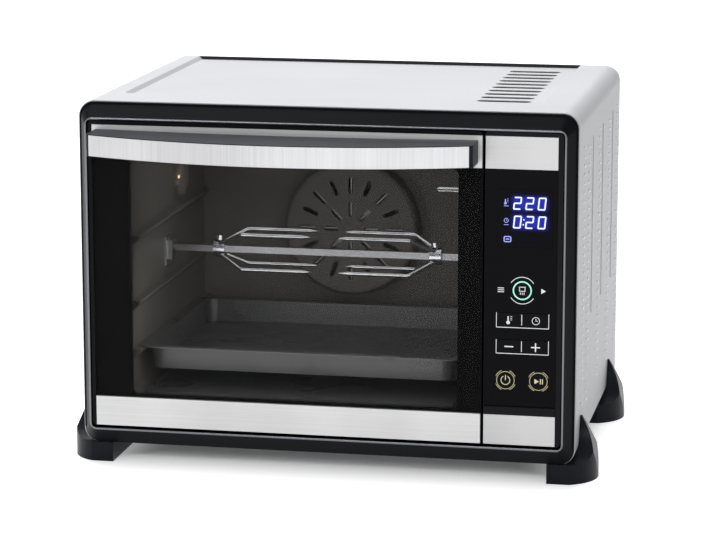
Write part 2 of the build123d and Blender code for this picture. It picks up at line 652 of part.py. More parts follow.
def handle_body():
    """Bowed grip, hollow and open below for the fingers, with a post at each end."""
    half, post = HANDLE_HALF, HANDLE_POST
    edges = [
        ThreePointArc((-half, HANDLE_END_Y), (0, HANDLE_FRONT_Y), (half, HANDLE_END_Y)),
        Line((half, HANDLE_END_Y), (half, FACE_Y)),
        Line((half, FACE_Y), (half - post, FACE_Y)),
        ThreePointArc((half - post, FACE_Y), (0, FACE_Y - HANDLE_BACK_BOW), (post - half, FACE_Y)),
        Line((post - half, FACE_Y), (-half, FACE_Y)),
        Line((-half, FACE_Y), (-half, HANDLE_END_Y)),
    ]
    plan = make_face(edges)
    corners = plan.vertices().filter_by(lambda v: abs(v.Y - HANDLE_END_Y) < 0.01)
    plan = fillet(corners, HANDLE_END_R)
    grip = Pos(HANDLE_X, 0, HANDLE_BOTTOM) * extrude(plan, amount=HANDLE_HEIGHT)
    hollow = offset(plan, amount=-HANDLE_WALL, kind=Kind.INTERSECTION)
    grip -= Pos(HANDLE_X, 0, HANDLE_BOTTOM) * extrude(hollow, amount=HANDLE_HEIGHT - HANDLE_WALL)
    for side in (-1, 1):
        x = HANDLE_X + side * HANDLE_SCREW_X
        boss = rod_y(HANDLE_END_Y + HANDLE_WALL, FACE_Y, x, HANDLE_SCREW_Z, HANDLE_BOSS_R)
        boss += block(x - 1, x + 1, HANDLE_END_Y + HANDLE_WALL, FACE_Y, HANDLE_SCREW_Z, HANDLE_TOP - 1)
        grip += boss & (Pos(HANDLE_X, 0, HANDLE_BOTTOM) * extrude(plan, amount=HANDLE_HEIGHT))
        grip -= rod_y(HANDLE_END_Y + 2 * HANDLE_WALL, FACE_Y, x, HANDLE_SCREW_Z, HANDLE_SCREW_R)
    return grip - handle_band(SEAT_GAP / 3)


def handle_band(clearance):
    """Space of the metal face that lies in the front of the handle."""
    radius = handle_radius()
    centre = HANDLE_FRONT_Y + radius
    ring = Circle(radius + 1) - Circle(radius - TRIM_THICK)
    if not clearance:
        ring = Circle(radius) - Circle(radius - TRIM_THICK)
    half = HANDLE_HALF - TRIM_END_BORDER + clearance
    window_part = Pos(0, -radius) * Rectangle(2 * half, radius)
    z0 = HANDLE_BOTTOM + TRIM_BORDER - clearance
    height = HANDLE_HEIGHT - 2 * TRIM_BORDER + 2 * clearance
    return Pos(HANDLE_X, centre, z0) * extrude(ring & window_part, amount=height)


def handle_trim():
    """Brushed metal face of the handle, bent along its curve."""
    return handle_band(0)


def handle_screws():
    """Screws that hold the handle from the back of the door's leaf."""
    screws = []
    for side in (-1, 1):
        x = HANDLE_X + side * HANDLE_SCREW_X
        shank = rod_y(HANDLE_END_Y + 2 * HANDLE_WALL + 4, DOOR_BACK_Y, x, HANDLE_SCREW_Z, HANDLE_SCREW_R - 0.02)
        screws.append(shank + rod_y(DOOR_BACK_Y, DOOR_BACK_Y + 1.6, x, HANDLE_SCREW_Z, SCREW_HEAD_R))
    return joined(screws)


# Control panel


def round_key_cutout(name, grow, y0, y1):
    """Cylinder of a round key, grown by a gap."""
    x, z, radius = ROUND_KEYS[name]
    return rod_y(y0, y1, x, z, radius + grow)


def wide_key_cutout(column, row, grow, y0, y1):
    """Block of a wide key, grown by a gap."""
    x, z = WIDE_KEY_X[column], WIDE_KEY_Z[row]
    half_w, half_h = WIDE_KEY_WIDTH / 2 + grow, WIDE_KEY_HEIGHT[row] / 2 + grow
    return slab(x - half_w, x + half_w, z - half_h, z + half_h, y0, y1, 1.2 + grow)


def key_places():
    """X and Z of every key's middle."""
    wide = [(x, z) for z in WIDE_KEY_Z for x in WIDE_KEY_X]
    return wide + [(x, z) for x, z, radius in ROUND_KEYS.values()]


def display_box(grow, y0, y1):
    """Block of the display, grown by a gap."""
    half_w, half_h = DISPLAY_WIDTH / 2 + grow, DISPLAY_HEIGHT / 2 + grow
    return slab(DISPLAY_X - half_w, DISPLAY_X + half_w, DISPLAY_Z - half_h, DISPLAY_Z + half_h, y0, y1)


def control_housing():
    """Moulded carrier behind the fascia, with the small ledge under it."""
    top, bottom = DOOR_TOP, DOOR_BOTTOM
    body = slab(PANEL_LEFT, PANEL_RIGHT, bottom, top, FACE_Y, FLOOR_Y, DOOR_R)
    body -= slab(PANEL_LEFT - 1, FASCIA_RIGHT + SEAT_GAP, bottom - 1, STRIP_TOP + SEAT_GAP, FACE_Y, FASCIA_Y)
    wall = HOUSING_WALL
    body -= slab(PANEL_LEFT + wall, PANEL_RIGHT - wall, bottom + wall, top - wall, CARRIER_Y + CARRIER_THICK,
                 FLOOR_Y)
    body -= slab(PANEL_LEFT + wall, FASCIA_RIGHT - wall / 2, GLASS_BOTTOM + LEDGE_HEIGHT + wall,
                 GLASS_TOP - wall, FASCIA_Y, CARRIER_Y)
    ledge_top = GLASS_BOTTOM + LEDGE_HEIGHT - SEAT_GAP
    ledge = slab(FASCIA_LEFT, FASCIA_RIGHT, GLASS_BOTTOM + SEAT_GAP, ledge_top, FACE_Y, FASCIA_Y)
    body += chamfer(ledge.edges().filter_by(Axis.X).sort_by(lambda e: e.center().Z - e.center().Y)[-1], 1.5)
    for x, z in key_places():
        body -= rod_y(CARRIER_Y, CARRIER_Y + CARRIER_THICK, x, z, KEY_STEM_R + STEM_CLEARANCE)
    body -= display_box(1, CARRIER_Y, CARRIER_Y + CARRIER_THICK)
    for x in (FASCIA_LEFT + 8, FASCIA_RIGHT - 8):
        for z in (GLASS_BOTTOM + 17, GLASS_TOP - 8):
            body += rod_y(CARRIER_Y + CARRIER_THICK, BOARD_Y, x, z, 2.5)
    return body


def control_fascia():
    """Glossy front plate with cut-outs for keys and display."""
    plate = slab(FASCIA_LEFT, FASCIA_RIGHT, GLASS_BOTTOM + LEDGE_HEIGHT, GLASS_TOP - SEAT_GAP, FACE_Y, FASCIA_Y)
    for name in ROUND_KEYS:
        plate -= round_key_cutout(name, KEY_GAP, FACE_Y, FASCIA_Y)
    for row in range(len(WIDE_KEY_Z)):
        for column in range(len(WIDE_KEY_X)):
            plate -= wide_key_cutout(column, row, KEY_GAP, FACE_Y, FASCIA_Y)
    return plate - display_box(0, FACE_Y, FASCIA_Y)


def badge_plate():
    """Bare metal plate at the top of the panel."""
    return strip(FASCIA_LEFT, FASCIA_RIGHT, GLASS_TOP, STRIP_TOP) - slab(0, HALF_W, 0, FRAME_TOP, FASCIA_Y, LEAF_Y)


def lower_plate():
    """Bare metal plate at the foot of the panel."""
    plate = strip(FASCIA_LEFT, FASCIA_RIGHT, STRIP_BOTTOM, GLASS_BOTTOM)
    return plate - slab(0, HALF_W, 0, FRAME_TOP, FASCIA_Y, LEAF_Y)


def key_stem(x, z):
    """Stem that reaches from a key's cap to its switch."""
    return rod_y(FASCIA_Y, BOARD_Y - SWITCH_HEIGHT - KEY_TRAVEL - SEAT_GAP, x, z, KEY_STEM_R)


def round_key(name):
    """Round key: cap, retaining flange and stem."""
    x, z, radius = ROUND_KEYS[name]
    flange_y = FASCIA_Y + 0.1
    cap = round_key_cutout(name, 0, FACE_Y - KEY_PROUD, flange_y)
    cap = chamfer(cap.edges().sort_by(Axis.Y)[0], KEY_PROUD)
    flange = round_key_cutout(name, KEY_FLANGE, flange_y, flange_y + KEY_FLANGE_THICK)
    return cap + flange + key_stem(x, z)


def wide_key(column, row):
    """Wide key: cap, retaining flange and stem."""
    flange_y = FASCIA_Y + 0.1
    cap = wide_key_cutout(column, row, 0, FACE_Y - KEY_PROUD, flange_y)
    cap = chamfer(cap.edges().group_by(Axis.Y)[0], KEY_PROUD * 0.8)
    flange = wide_key_cutout(column, row, KEY_FLANGE, flange_y, flange_y + KEY_FLANGE_THICK)
    inset = slab(WIDE_KEY_X[0] - WIDE_KEY_WIDTH, (WIDE_KEY_X[0] + WIDE_KEY_X[1]) / 2 - 0.2, 0, FRAME_TOP,
                 FACE_Y - 1, CARRIER_Y)
    if column == 1:
        inset = slab((WIDE_KEY_X[0] + WIDE_KEY_X[1]) / 2 + 0.2, WIDE_KEY_X[1] + WIDE_KEY_WIDTH, 0, FRAME_TOP,
                     FACE_Y - 1, CARRIER_Y)
    return cap + (flange & inset) + key_stem(WIDE_KEY_X[column], WIDE_KEY_Z[row])


def display_window():
    """Smoked window in front of the digits."""
    return display_box(-0.1, FACE_Y, FASCIA_Y)


def display_module():
    """Digit block on the control board, with its two lines of digit wells."""
    body = display_box(-1, FASCIA_Y + SEAT_GAP, BOARD_Y)
    for z in (DISPLAY_Z + 15.2, DISPLAY_Z - 3.3):
        body -= slab(DISPLAY_X - 14, DISPLAY_X + 23, z - 7.5, z + 7.5, FASCIA_Y + SEAT_GAP, FASCIA_Y + 1.5)
    return body


def control_board():
    """Circuit board behind the keys, with a switch behind each."""
    board = slab(PANEL_LEFT + 4, PANEL_RIGHT - 4, GLASS_BOTTOM + 10, GLASS_TOP - 4, BOARD_Y, BOARD_Y + BOARD_THICK)
    half = SWITCH_SIZE / 2
    for x, z in key_places():
        board += slab(x - half, x + half, z - half, z + half, BOARD_Y - SWITCH_HEIGHT, BOARD_Y)
    return board


# Cavity and what it holds


def cavity_shell():
    """Oven cavity: folded box with a front flange, rails, heater hangers and wall holes."""
    outer = slab(CAVITY_LEFT - SHEET, CAVITY_RIGHT + SHEET, CAVITY_BOTTOM - SHEET, CAVITY_TOP + SHEET, FLANGE_Y,
                 CAVITY_BACK + SHEET, CAVITY_R + SHEET)
    flange = slab(STRIP_LEFT, DOOR_RIGHT - 4, DOOR_BOTTOM + 4, CAVITY_TOP + FLANGE_MARGIN, FLANGE_Y, CAVITY_Y)
    shell = outer + flange
    shell -= slab(CAVITY_LEFT, CAVITY_RIGHT, CAVITY_BOTTOM, CAVITY_TOP, FLANGE_Y, CAVITY_BACK, CAVITY_R)
    for top in RAIL_TOPS:
        for wall_x, side in ((CAVITY_LEFT, 1), (CAVITY_RIGHT, -1)):
            shell += rack_rail(wall_x, side, top)
    for z in heater_levels():
        shell += heater_hanger(z)
        for y in heater_rows():
            shell -= rod_x(CAVITY_RIGHT - 1, CAVITY_RIGHT + SHEET + 1, y, z, HEATER_R + SEAT_GAP)
    shell -= rod_x(CAVITY_RIGHT - 1, CAVITY_RIGHT + SHEET + 1, SPIT_Y, SPIT_Z, SOCKET_R + SPIT_FIT)
    shell -= rod_x(CAVITY_LEFT - SHEET - 1, CAVITY_LEFT + 1, LAMP_Y, LAMP_Z, LAMP_COVER_R - 3)
    shell -= rod_y(CAVITY_BACK, CAVITY_BACK + SHEET, CAVITY_MID_X, SPIT_Z, FAN_SHAFT_R + 1)
    shell -= rod_x(CAVITY_RIGHT, CAVITY_RIGHT + SHEET, *probe_place(), PROBE_R + PIN_CLEARANCE)
    for x in stay_places():
        shell -= stay_slot(x, FLANGE_Y, CAVITY_Y)
    return shell


def rack_rail(wall_x, side, top):
    """Pressed rail on a cavity wall."""
    base = wall_x - side * SHEET / 2
    tip = wall_x + side * RAIL_PROUD
    corners = (base, top - 2.2 * RAIL_HEIGHT), (tip, top - RAIL_HEIGHT / 2), (tip, top), (base, top)
    y1 = CAVITY_BACK - RAIL_END_CLEARANCE
    section = front_plane(y1) * make_face(Polyline(*corners, close=True))
    return extrude(section, amount=y1 - CAVITY_Y - RAIL_START)


def heater_levels():
    """Heights of the upper and the lower heater."""
    return CAVITY_TOP - HEATER_WALL_DISTANCE, CAVITY_BOTTOM + HEATER_WALL_DISTANCE


def heater_rows():
    """Depth of each heater's two runs."""
    return SPIT_Y - HEATER_SPAN / 2, SPIT_Y + HEATER_SPAN / 2


def heater_hanger(z):
    """Tab on the left wall that holds the bend of a heater."""
    x = CAVITY_RIGHT - HEATER_REACH
    y0, y1 = SPIT_Y - HANGER_THICK / 2, SPIT_Y + HANGER_THICK / 2
    tab = block(CAVITY_LEFT - SHEET / 2, x + 2 * HEATER_R, y0, y1, z - 2 * HEATER_R, z + 2 * HEATER_R)
    return tab - rod_y(y0, y1, x, z, HEATER_R + HANGER_CLEARANCE)


def heater(z):
    """Tubular heater bent to a U, with both ends through the right wall."""
    front, back = heater_rows()
    right = CAVITY_RIGHT + HEATER_TAIL
    left = CAVITY_RIGHT - HEATER_REACH
    path = FilletPolyline((right, front, z), (left, front, z), (left, back, z), (right, back, z),
                          radius=HEATER_BEND_R)
    return sweep(Plane((right, front, z), x_dir=(0, 1, 0), z_dir=(-1, 0, 0)) * Circle(HEATER_R), path=path)


def heater_insulators():
    """Ceramic collars where the heaters pass the cavity wall."""
    rings = []
    wall = CAVITY_RIGHT + SHEET
    for z in heater_levels():
        for y in heater_rows():
            ring = rod_x(wall, wall + INSULATOR_LENGTH, y, z, INSULATOR_R)
            ring = chamfer(ring.edges().sort_by(Axis.X)[-1], 1.5)
            rings.append(ring - rod_x(wall, wall + INSULATOR_LENGTH, y, z, HEATER_R + HANGER_CLEARANCE))
    return joined(rings)


def door_seal():
    """Ring of seal around the cavity's mouth."""
    out = SEAL_WIDTH
    ring = slab(CAVITY_LEFT - out, CAVITY_RIGHT + out, CAVITY_BOTTOM - out, CAVITY_TOP + out,
                DOOR_BACK_Y + SEAL_GAP, FLANGE_Y, CAVITY_R + out)
    ring -= slab(CAVITY_LEFT, CAVITY_RIGHT, CAVITY_BOTTOM, CAVITY_TOP, DOOR_BACK_Y, FLANGE_Y, CAVITY_R)
    return ring


def fan_guard():
    """Pan over the fan with a ring of radial slots and a round inlet grille."""
    front = CAVITY_BACK - FAN_GUARD_DEPTH
    guard = rod_y(front, CAVITY_BACK, CAVITY_MID_X, SPIT_Z, FAN_GUARD_R)
    guard = fillet(guard.edges().sort_by(Axis.Y)[0], 6)
    inner = rod_y(front + SHEET, CAVITY_BACK, CAVITY_MID_X, SPIT_Z, FAN_GUARD_R - SHEET)
    guard -= fillet(inner.edges().sort_by(Axis.Y)[0], 5)
    rim = rod_y(CAVITY_BACK - SHEET, CAVITY_BACK, CAVITY_MID_X, SPIT_Z, FAN_GUARD_R + 8)
    guard += rim - rod_y(CAVITY_BACK - SHEET, CAVITY_BACK, CAVITY_MID_X, SPIT_Z, FAN_GUARD_R - SHEET)
    plane = front_plane(front + 2 * SHEET) * Pos(CAVITY_MID_X, SPIT_Z)
    for radius, count, length in ((22, 8, 16), (48, 16, 18)):
        for number in range(count):
            slot = plane * Rot(0, 0, 360 * number / count) * Pos(radius, 0) * SlotOverall(length, 5)
            guard -= extrude(slot, amount=3 * SHEET)
    return guard


def fan_blade():
    """Radial fan: hub on a shaft, back disc and bent blades."""
    front = CAVITY_BACK - FAN_GUARD_DEPTH + SHEET + 3
    back = front + FAN_BLADE_DEPTH
    wheel = rod_y(back - 1.2, back, CAVITY_MID_X, SPIT_Z, FAN_BLADE_R * 0.55)
    wheel += rod_y(front, back + 2, CAVITY_MID_X, SPIT_Z, 3 * FAN_SHAFT_R)
    wheel += rod_y(back, CAVITY_BACK + SHEET + 12, CAVITY_MID_X, SPIT_Z, FAN_SHAFT_R)
    for number in range(FAN_BLADE_COUNT):
        blade = Pos(FAN_BLADE_R * 0.62, 0) * Rectangle(FAN_BLADE_R * 0.76, 1.2)
        plane = front_plane(back) * Pos(CAVITY_MID_X, SPIT_Z) * Rot(0, 0, 360 * number / FAN_BLADE_COUNT)
        wheel += extrude(plane * blade, amount=FAN_BLADE_DEPTH)
    return wheel


def fan_motor():
    """Motor behind the cavity that turns the fan."""
    start = CAVITY_BACK + SHEET
    plate = slab(CAVITY_MID_X - 38, CAVITY_MID_X + 38, SPIT_Z - 14, SPIT_Z + 14, start, start + 2, 6)
    body = rod_y(start + 2, start + 2 + FAN_MOTOR_LENGTH, CAVITY_MID_X, SPIT_Z, FAN_MOTOR_R)
    body = chamfer(body.edges().sort_by(Axis.Y)[-1], 4)
    return plate + body - rod_y(start, start + 14, CAVITY_MID_X, SPIT_Z, FAN_SHAFT_R + PIN_CLEARANCE)


def lamp_cover():
    """Round glass dome over the lamp, seated on the left wall."""
    wall = CAVITY_LEFT
    dome = rod_x(wall, wall + LAMP_COVER_DEPTH, LAMP_Y, LAMP_Z, LAMP_COVER_R)
    dome = fillet(dome.edges().sort_by(Axis.X)[-1], 5)
    hollow = rod_x(wall, wall + LAMP_COVER_DEPTH - 2, LAMP_Y, LAMP_Z, LAMP_COVER_R - 3)
    return dome - fillet(hollow.edges().sort_by(Axis.X)[-1], 3)


def lamp_bulb():
    """Bulb and its holder, which sits outside the cavity wall."""
    wall = CAVITY_LEFT - SHEET
    holder = rod_x(wall - 24, wall, LAMP_Y, LAMP_Z, LAMP_COVER_R)
    holder += rod_x(wall - 10, wall, LAMP_Y, LAMP_Z, LAMP_COVER_R + 3)
    holder -= rod_x(wall - 8, wall, LAMP_Y, LAMP_Z, LAMP_COVER_R - 3)
    bulb = rod_x(wall - 8, wall, LAMP_Y, LAMP_Z, LAMP_BULB_R)
    return holder + bulb + Pos(wall, LAMP_Y, LAMP_Z) * Sphere(LAMP_BULB_R - 2)


def probe_place():
    """Depth and height of the temperature probe."""
    return CAVITY_Y + 62, CAVITY_TOP - 38


def temperature_probe():
    """Thin probe through the right wall with its nut outside."""
    y, z = probe_place()
    wall = CAVITY_RIGHT + SHEET
    probe = rod_x(CAVITY_RIGHT - PROBE_LENGTH, wall + 10, y, z, PROBE_R)
    probe = fillet(probe.edges().sort_by(Axis.X)[0], PROBE_R * 0.8)
    nut = Plane((wall, y, z), x_dir=(0, 1, 0), z_dir=(1, 0, 0)) * RegularPolygon(6, 6)
    return probe + extrude(nut, amount=4)


def spit_bearing():
    """Bracket on the left wall with the open notch that the spit drops into."""
    wall = CAVITY_LEFT
    top = SPIT_Z + 12
    bracket = block(wall, wall + 2, SPIT_Y - 14, SPIT_Y + 14, SPIT_Z - 18, top)
    bracket += block(wall + 2, wall + 7, SPIT_Y - 10, SPIT_Y + 10, SPIT_Z - 12, top - 4)
    half = SPIT_JOURNAL_R + JOURNAL_CLEARANCE
    bracket -= rod_x(wall + 2, wall + 7, SPIT_Y, SPIT_Z, half)
    return bracket - block(wall + 2, wall + 7, SPIT_Y - half, SPIT_Y + half, SPIT_Z, top)


def spit_rod():
    """Square spit with a pointed, turned left end and a square right end."""
    left = CAVITY_LEFT + 9
    right = CAVITY_RIGHT - 2
    half = SPIT_SIZE / 2
    rod = block(left, right, SPIT_Y - half, SPIT_Y + half, SPIT_Z - half, SPIT_Z + half)
    return rod + rod_x(CAVITY_LEFT + 2.5, left, SPIT_Y, SPIT_Z, SPIT_JOURNAL_R)


def drive_socket():
    """Socket that the spit's right end plugs into, on the motor's shaft."""
    start = CAVITY_RIGHT - SOCKET_LENGTH + 4
    end = CAVITY_RIGHT + 4
    socket = rod_x(start, end, SPIT_Y, SPIT_Z, SOCKET_R)
    socket = chamfer(socket.edges().sort_by(Axis.X)[0], 1.5)
    half = SPIT_SIZE / 2 + 0.02
    socket -= block(start, CAVITY_RIGHT - 2, SPIT_Y - half, SPIT_Y + half, SPIT_Z - half, SPIT_Z + half)
    return socket + rod_x(end, CAVITY_RIGHT + 22, SPIT_Y, SPIT_Z, SOCKET_SHAFT_R)


def rotisserie_motor():
    """Geared motor on the cavity's right wall."""
    start = CAVITY_RIGHT + SHEET
    foot_plate = block(start, start + 2, SPIT_Y - 32, SPIT_Y + 32, SPIT_Z - 18, SPIT_Z + 18)
    posts = [rod_x(start, start + 10, SPIT_Y + dy, SPIT_Z + dz, 4) for dy in (-18, 18) for dz in (-18 + 5, 18 - 5)]
    body = Pos(start + 8 + MOTOR_DEPTH / 2, SPIT_Y, SPIT_Z) * Box(MOTOR_DEPTH, MOTOR_WIDTH, MOTOR_WIDTH)
    body = fillet(body.edges().filter_by(Axis.X), 10)
    motor = foot_plate + body
    for post in posts:
        motor += post
    motor -= rod_x(start, start + 8, SPIT_Y, SPIT_Z, SOCKET_R + SPIT_FIT)
    return motor - rod_x(start + 8, start + 24, SPIT_Y, SPIT_Z, SOCKET_SHAFT_R + PIN_CLEARANCE)


def fork(x, inward):
    """Four-tined fork that slides on the spit; inward is +1 where its tines point right."""
    start, end = sorted((x - inward * FORK_HUB_LENGTH / 2, x + inward * FORK_HUB_LENGTH / 2))
    hub = rod_x(start, end, SPIT_Y, SPIT_Z, FORK_HUB_R)
    tip = x + inward * (FORK_HUB_LENGTH / 2 + FORK_TINE_LEAN + FORK_TINE_LENGTH)
    bend = x + inward * (FORK_HUB_LENGTH / 2 + FORK_TINE_LEAN)
    for number in range(4):
        angle = radians(45 + 90 * number)
        dy, dz = cos(angle), sin(angle)
        root_r = FORK_HUB_R - FORK_TINE_R
        points = [
            (x, SPIT_Y + dy * root_r, SPIT_Z + dz * root_r),
            (bend, SPIT_Y + dy * FORK_TINE_SPREAD, SPIT_Z + dz * FORK_TINE_SPREAD),
            (tip, SPIT_Y + dy * FORK_TINE_SPREAD, SPIT_Z + dz * FORK_TINE_SPREAD),
        ]
        path = FilletPolyline(*points, radius=8)
        section = Plane(origin=path @ 0, z_dir=path % 0) * Circle(FORK_TINE_R)
        hub += sweep(section, path=path)
        cone = Pos(tip + inward * 4, points[2][1], points[2][2]) * Rot(0, 90 * inward, 0) * Cone(
            FORK_TINE_R, 0.3, 8)
        hub += cone
    half = SPIT_SIZE / 2 + 0.05
    hub -= block(start - 1, end + 1, SPIT_Y - half, SPIT_Y + half, SPIT_Z - half, SPIT_Z + half)
    return hub - rod_z(SPIT_Z, SPIT_Z + FORK_HUB_R + 1, x, SPIT_Y, 2.0)


def fork_screw(x):
    """Knurled thumbscrew that clamps a fork to the spit."""
    bottom = SPIT_Z + SPIT_SIZE / 2 + 0.1
    top = SPIT_Z + FORK_HUB_R + 0.6
    screw = rod_z(bottom, top, x, SPIT_Y, 1.96)
    head = extrude(Plane.XY.offset(top) * Pos(x, SPIT_Y) * RegularPolygon(5.5, 12), amount=5)
    return screw + head


def baking_tray():
    """Deep tray with sloped walls and a flat rim that rides on the rails."""
    left = CAVITY_LEFT + TRAY_SIDE_CLEARANCE
    right = CAVITY_RIGHT - TRAY_SIDE_CLEARANCE
    rim_z = RAIL_TOPS[0] + TRAY_REST_GAP
    back = TRAY_FRONT_Y + TRAY_DEPTH
    width, depth = right - left, TRAY_DEPTH
    top = Plane.XY.offset(rim_z + TRAY_SHEET) * Pos((left + right) / 2, (TRAY_FRONT_Y + back) / 2)
    inner = top * RectangleRounded(width - 2 * TRAY_RIM - 2, depth - 2 * TRAY_RIM, 14)
    outer = Plane.XY.offset(rim_z) * Pos((left + right) / 2, (TRAY_FRONT_Y + back) / 2) * RectangleRounded(
        width - 2 * TRAY_RIM - 2 + 2 * TRAY_SHEET, depth - 2 * TRAY_RIM + 2 * TRAY_SHEET, 14 + TRAY_SHEET)
    tray = extrude(top * RectangleRounded(width, depth, 12), amount=-TRAY_SHEET)
    tray += extrude(outer, amount=-(TRAY_HEIGHT - TRAY_SHEET), taper=8)
    return tray - extrude(inner, amount=-(TRAY_HEIGHT - TRAY_SHEET), taper=8)


def crumb_tray():
    """Flat tray on the cavity's floor under the lower heater."""
    left, right = CAVITY_LEFT + CAVITY_R + CRUMB_INSET, CAVITY_RIGHT - CAVITY_R - CRUMB_INSET
    front, back = CAVITY_Y + 4, CAVITY_BACK - 8
    tray = block(left, right, front, back, CAVITY_BOTTOM, CAVITY_BOTTOM + CRUMB_RIM)
    return tray - block(left + CRUMB_SHEET, right - CRUMB_SHEET, front + CRUMB_SHEET, back - CRUMB_SHEET,
                        CAVITY_BOTTOM + CRUMB_SHEET, CAVITY_BOTTOM + CRUMB_RIM)


def power_board():
    """Upright board for relays and supply on a folded bracket behind the panel."""
    x = HALF_W - 40
    foot_z = FRAME_BOTTOM + SHEET
    bracket = block(x - 14, x, 110, 250, foot_z, foot_z + SHEET)
    bracket += block(x - SHEET, x, 110, 250, foot_z, foot_z + 130)
    board = block(x, x + 1.6, 115, 245, foot_z + 8, foot_z + 126)
    board += block(x + 1.6, x + 26, 130, 165, foot_z + 20, foot_z + 50)
    board += block(x + 1.6, x + 17, 180, 210, foot_z + 20, foot_z + 36)
    board += rod_x(x + 1.6, x + 22, 225, foot_z + 80, 8)
    return joined([bracket + board])


def write(name, shape):
    """Saves one piece about the middle of the footprint."""
    export_step(Pos(0, -FOOTPRINT_MID, 0) * shape, f"parts/{name}.step")


def main():
    """Builds every piece and saves it under its own name."""
    os.makedirs("parts", exist_ok=True)
    top_z, bottom_z = heater_levels()
    pieces = {
        "front_frame": front_frame, "outer_case": outer_case, "rear_panel": rear_panel,
        "rear_screws": rear_screws, "base_plate": base_plate, "cord_gland": cord_gland,
        "door_frame": door_frame, "door_outer_glass": door_outer_glass, "door_inner_glass": door_inner_glass,
        "door_top_strip": door_top_strip, "door_bottom_strip": door_bottom_strip,
        "handle_body": handle_body, "handle_trim": handle_trim, "handle_screws": handle_screws,
        "hinge_brackets": hinge_brackets, "hinge_pins": hinge_pins, "door_stays": door_stays,
        "control_housing": control_housing, "control_fascia": control_fascia, "badge_plate": badge_plate,
        "lower_plate": lower_plate, "display_window": display_window, "display_module": display_module,
        "control_board": control_board, "power_board": power_board,
        "cavity_shell": cavity_shell, "door_seal": door_seal, "heater_insulators": heater_insulators,
        "fan_guard": fan_guard, "fan_blade": fan_blade, "fan_motor": fan_motor,
        "lamp_cover": lamp_cover, "lamp_bulb": lamp_bulb, "temperature_probe": temperature_probe,
        "spit_bearing": spit_bearing, "spit_rod": spit_rod, "drive_socket": drive_socket,
        "rotisserie_motor": rotisserie_motor, "baking_tray": baking_tray, "crumb_tray": crumb_tray,
    }
    for name, build in pieces.items():
        write(name, build())
    write("top_heater", heater(top_z))
    write("bottom_heater", heater(bottom_z))
    for name, x, inward in (("left", FORK_LEFT_X, 1), ("right", FORK_RIGHT_X, -1)):
        write(f"fork_{name}", fork(x, inward))
        write(f"fork_screw_{name}", fork_screw(x))
    for side_name, side in (("left", -1), ("right", 1)):
        for end_name, y in (("front", FRONT_FOOT_Y), ("rear", REAR_FOOT_Y)):
            write(f"foot_{end_name}_{side_name}", foot(side, y))
    for name in ROUND_KEYS:
        write(f"key_{name}", round_key(name))
    wide_names = (("temperature", "timer"), ("minus", "plus"))
    for row, names in enumerate(wide_names):
        for column, name in enumerate(names):
            write(f"key_{name}", wide_key(column, row))


if __name__ == "__main__":
    main()
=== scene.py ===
"""Looks of an electric countertop oven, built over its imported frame.

Lengths are in millimetres in the working frame of the oven, unless a text says metres: X to the
right from the middle of the front frame, Y to the rear from the joint between frame and case, Z up
from the worktop. The meshes themselves are in metres about the middle of the footprint.
"""
from __future__ import annotations

import logging
import math
from dataclasses import dataclass, replace
from enum import Enum
from typing import Callable, Iterable, Sequence

import bmesh
import bpy
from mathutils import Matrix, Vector


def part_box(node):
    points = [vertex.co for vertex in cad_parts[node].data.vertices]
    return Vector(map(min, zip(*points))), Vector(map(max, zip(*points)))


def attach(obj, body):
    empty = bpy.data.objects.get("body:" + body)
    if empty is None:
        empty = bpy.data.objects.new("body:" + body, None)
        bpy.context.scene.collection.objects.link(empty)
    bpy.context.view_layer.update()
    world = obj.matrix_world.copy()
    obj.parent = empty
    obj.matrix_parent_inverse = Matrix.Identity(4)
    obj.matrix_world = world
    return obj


log = logging.getLogger("oven")

MM = 0.001
FOOTPRINT_MIDDLE = 145.6
PRINT_THICK = 0.08
UPRIGHT = math.radians(90)
SMOOTH_ANGLE = math.radians(35)

Socket = bpy.types.NodeSocket
Material = bpy.types.Material
Piece = bpy.types.Object
Pair = tuple[float, float]
Colour = tuple[float, float, float]
Corner = tuple[float, float, float]
Stops = tuple[tuple[float, float], ...]


class Way(Enum):
    """Axis along which a brushed surface runs."""

    ACROSS = 0
    UP = 2


def at(x: float, y: float, z: float) -> Vector:
    """Point of the working frame, in metres about the footprint's middle.

    Args:
        x: Millimetres to the right of the middle.
        y: Millimetres behind the joint of frame and case.
        z: Millimetres above the worktop.

    Returns:
        The point in Blender's frame.
    """
    return Vector((x * MM, (y - FOOTPRINT_MIDDLE) * MM, z * MM))


def node_box(node: str) -> tuple[Corner, Corner]:
    """Lowest and highest corner of a CAD node in the working frame.

    Args:
        node: Name of the node.

    Returns:
        The two corners.
    """
    low, high = (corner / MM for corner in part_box(node))
    return (low.x, low.y + FOOTPRINT_MIDDLE, low.z), (high.x, high.y + FOOTPRINT_MIDDLE, high.z)


def node_middle(node: str) -> Corner:
    """Middle of a CAD node's box in the working frame.

    Args:
        node: Name of the node.

    Returns:
        The middle.
    """
    low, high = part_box(node)
    middle = (low + high) / 2 / MM
    return middle.x, middle.y + FOOTPRINT_MIDDLE, middle.z


# Materials


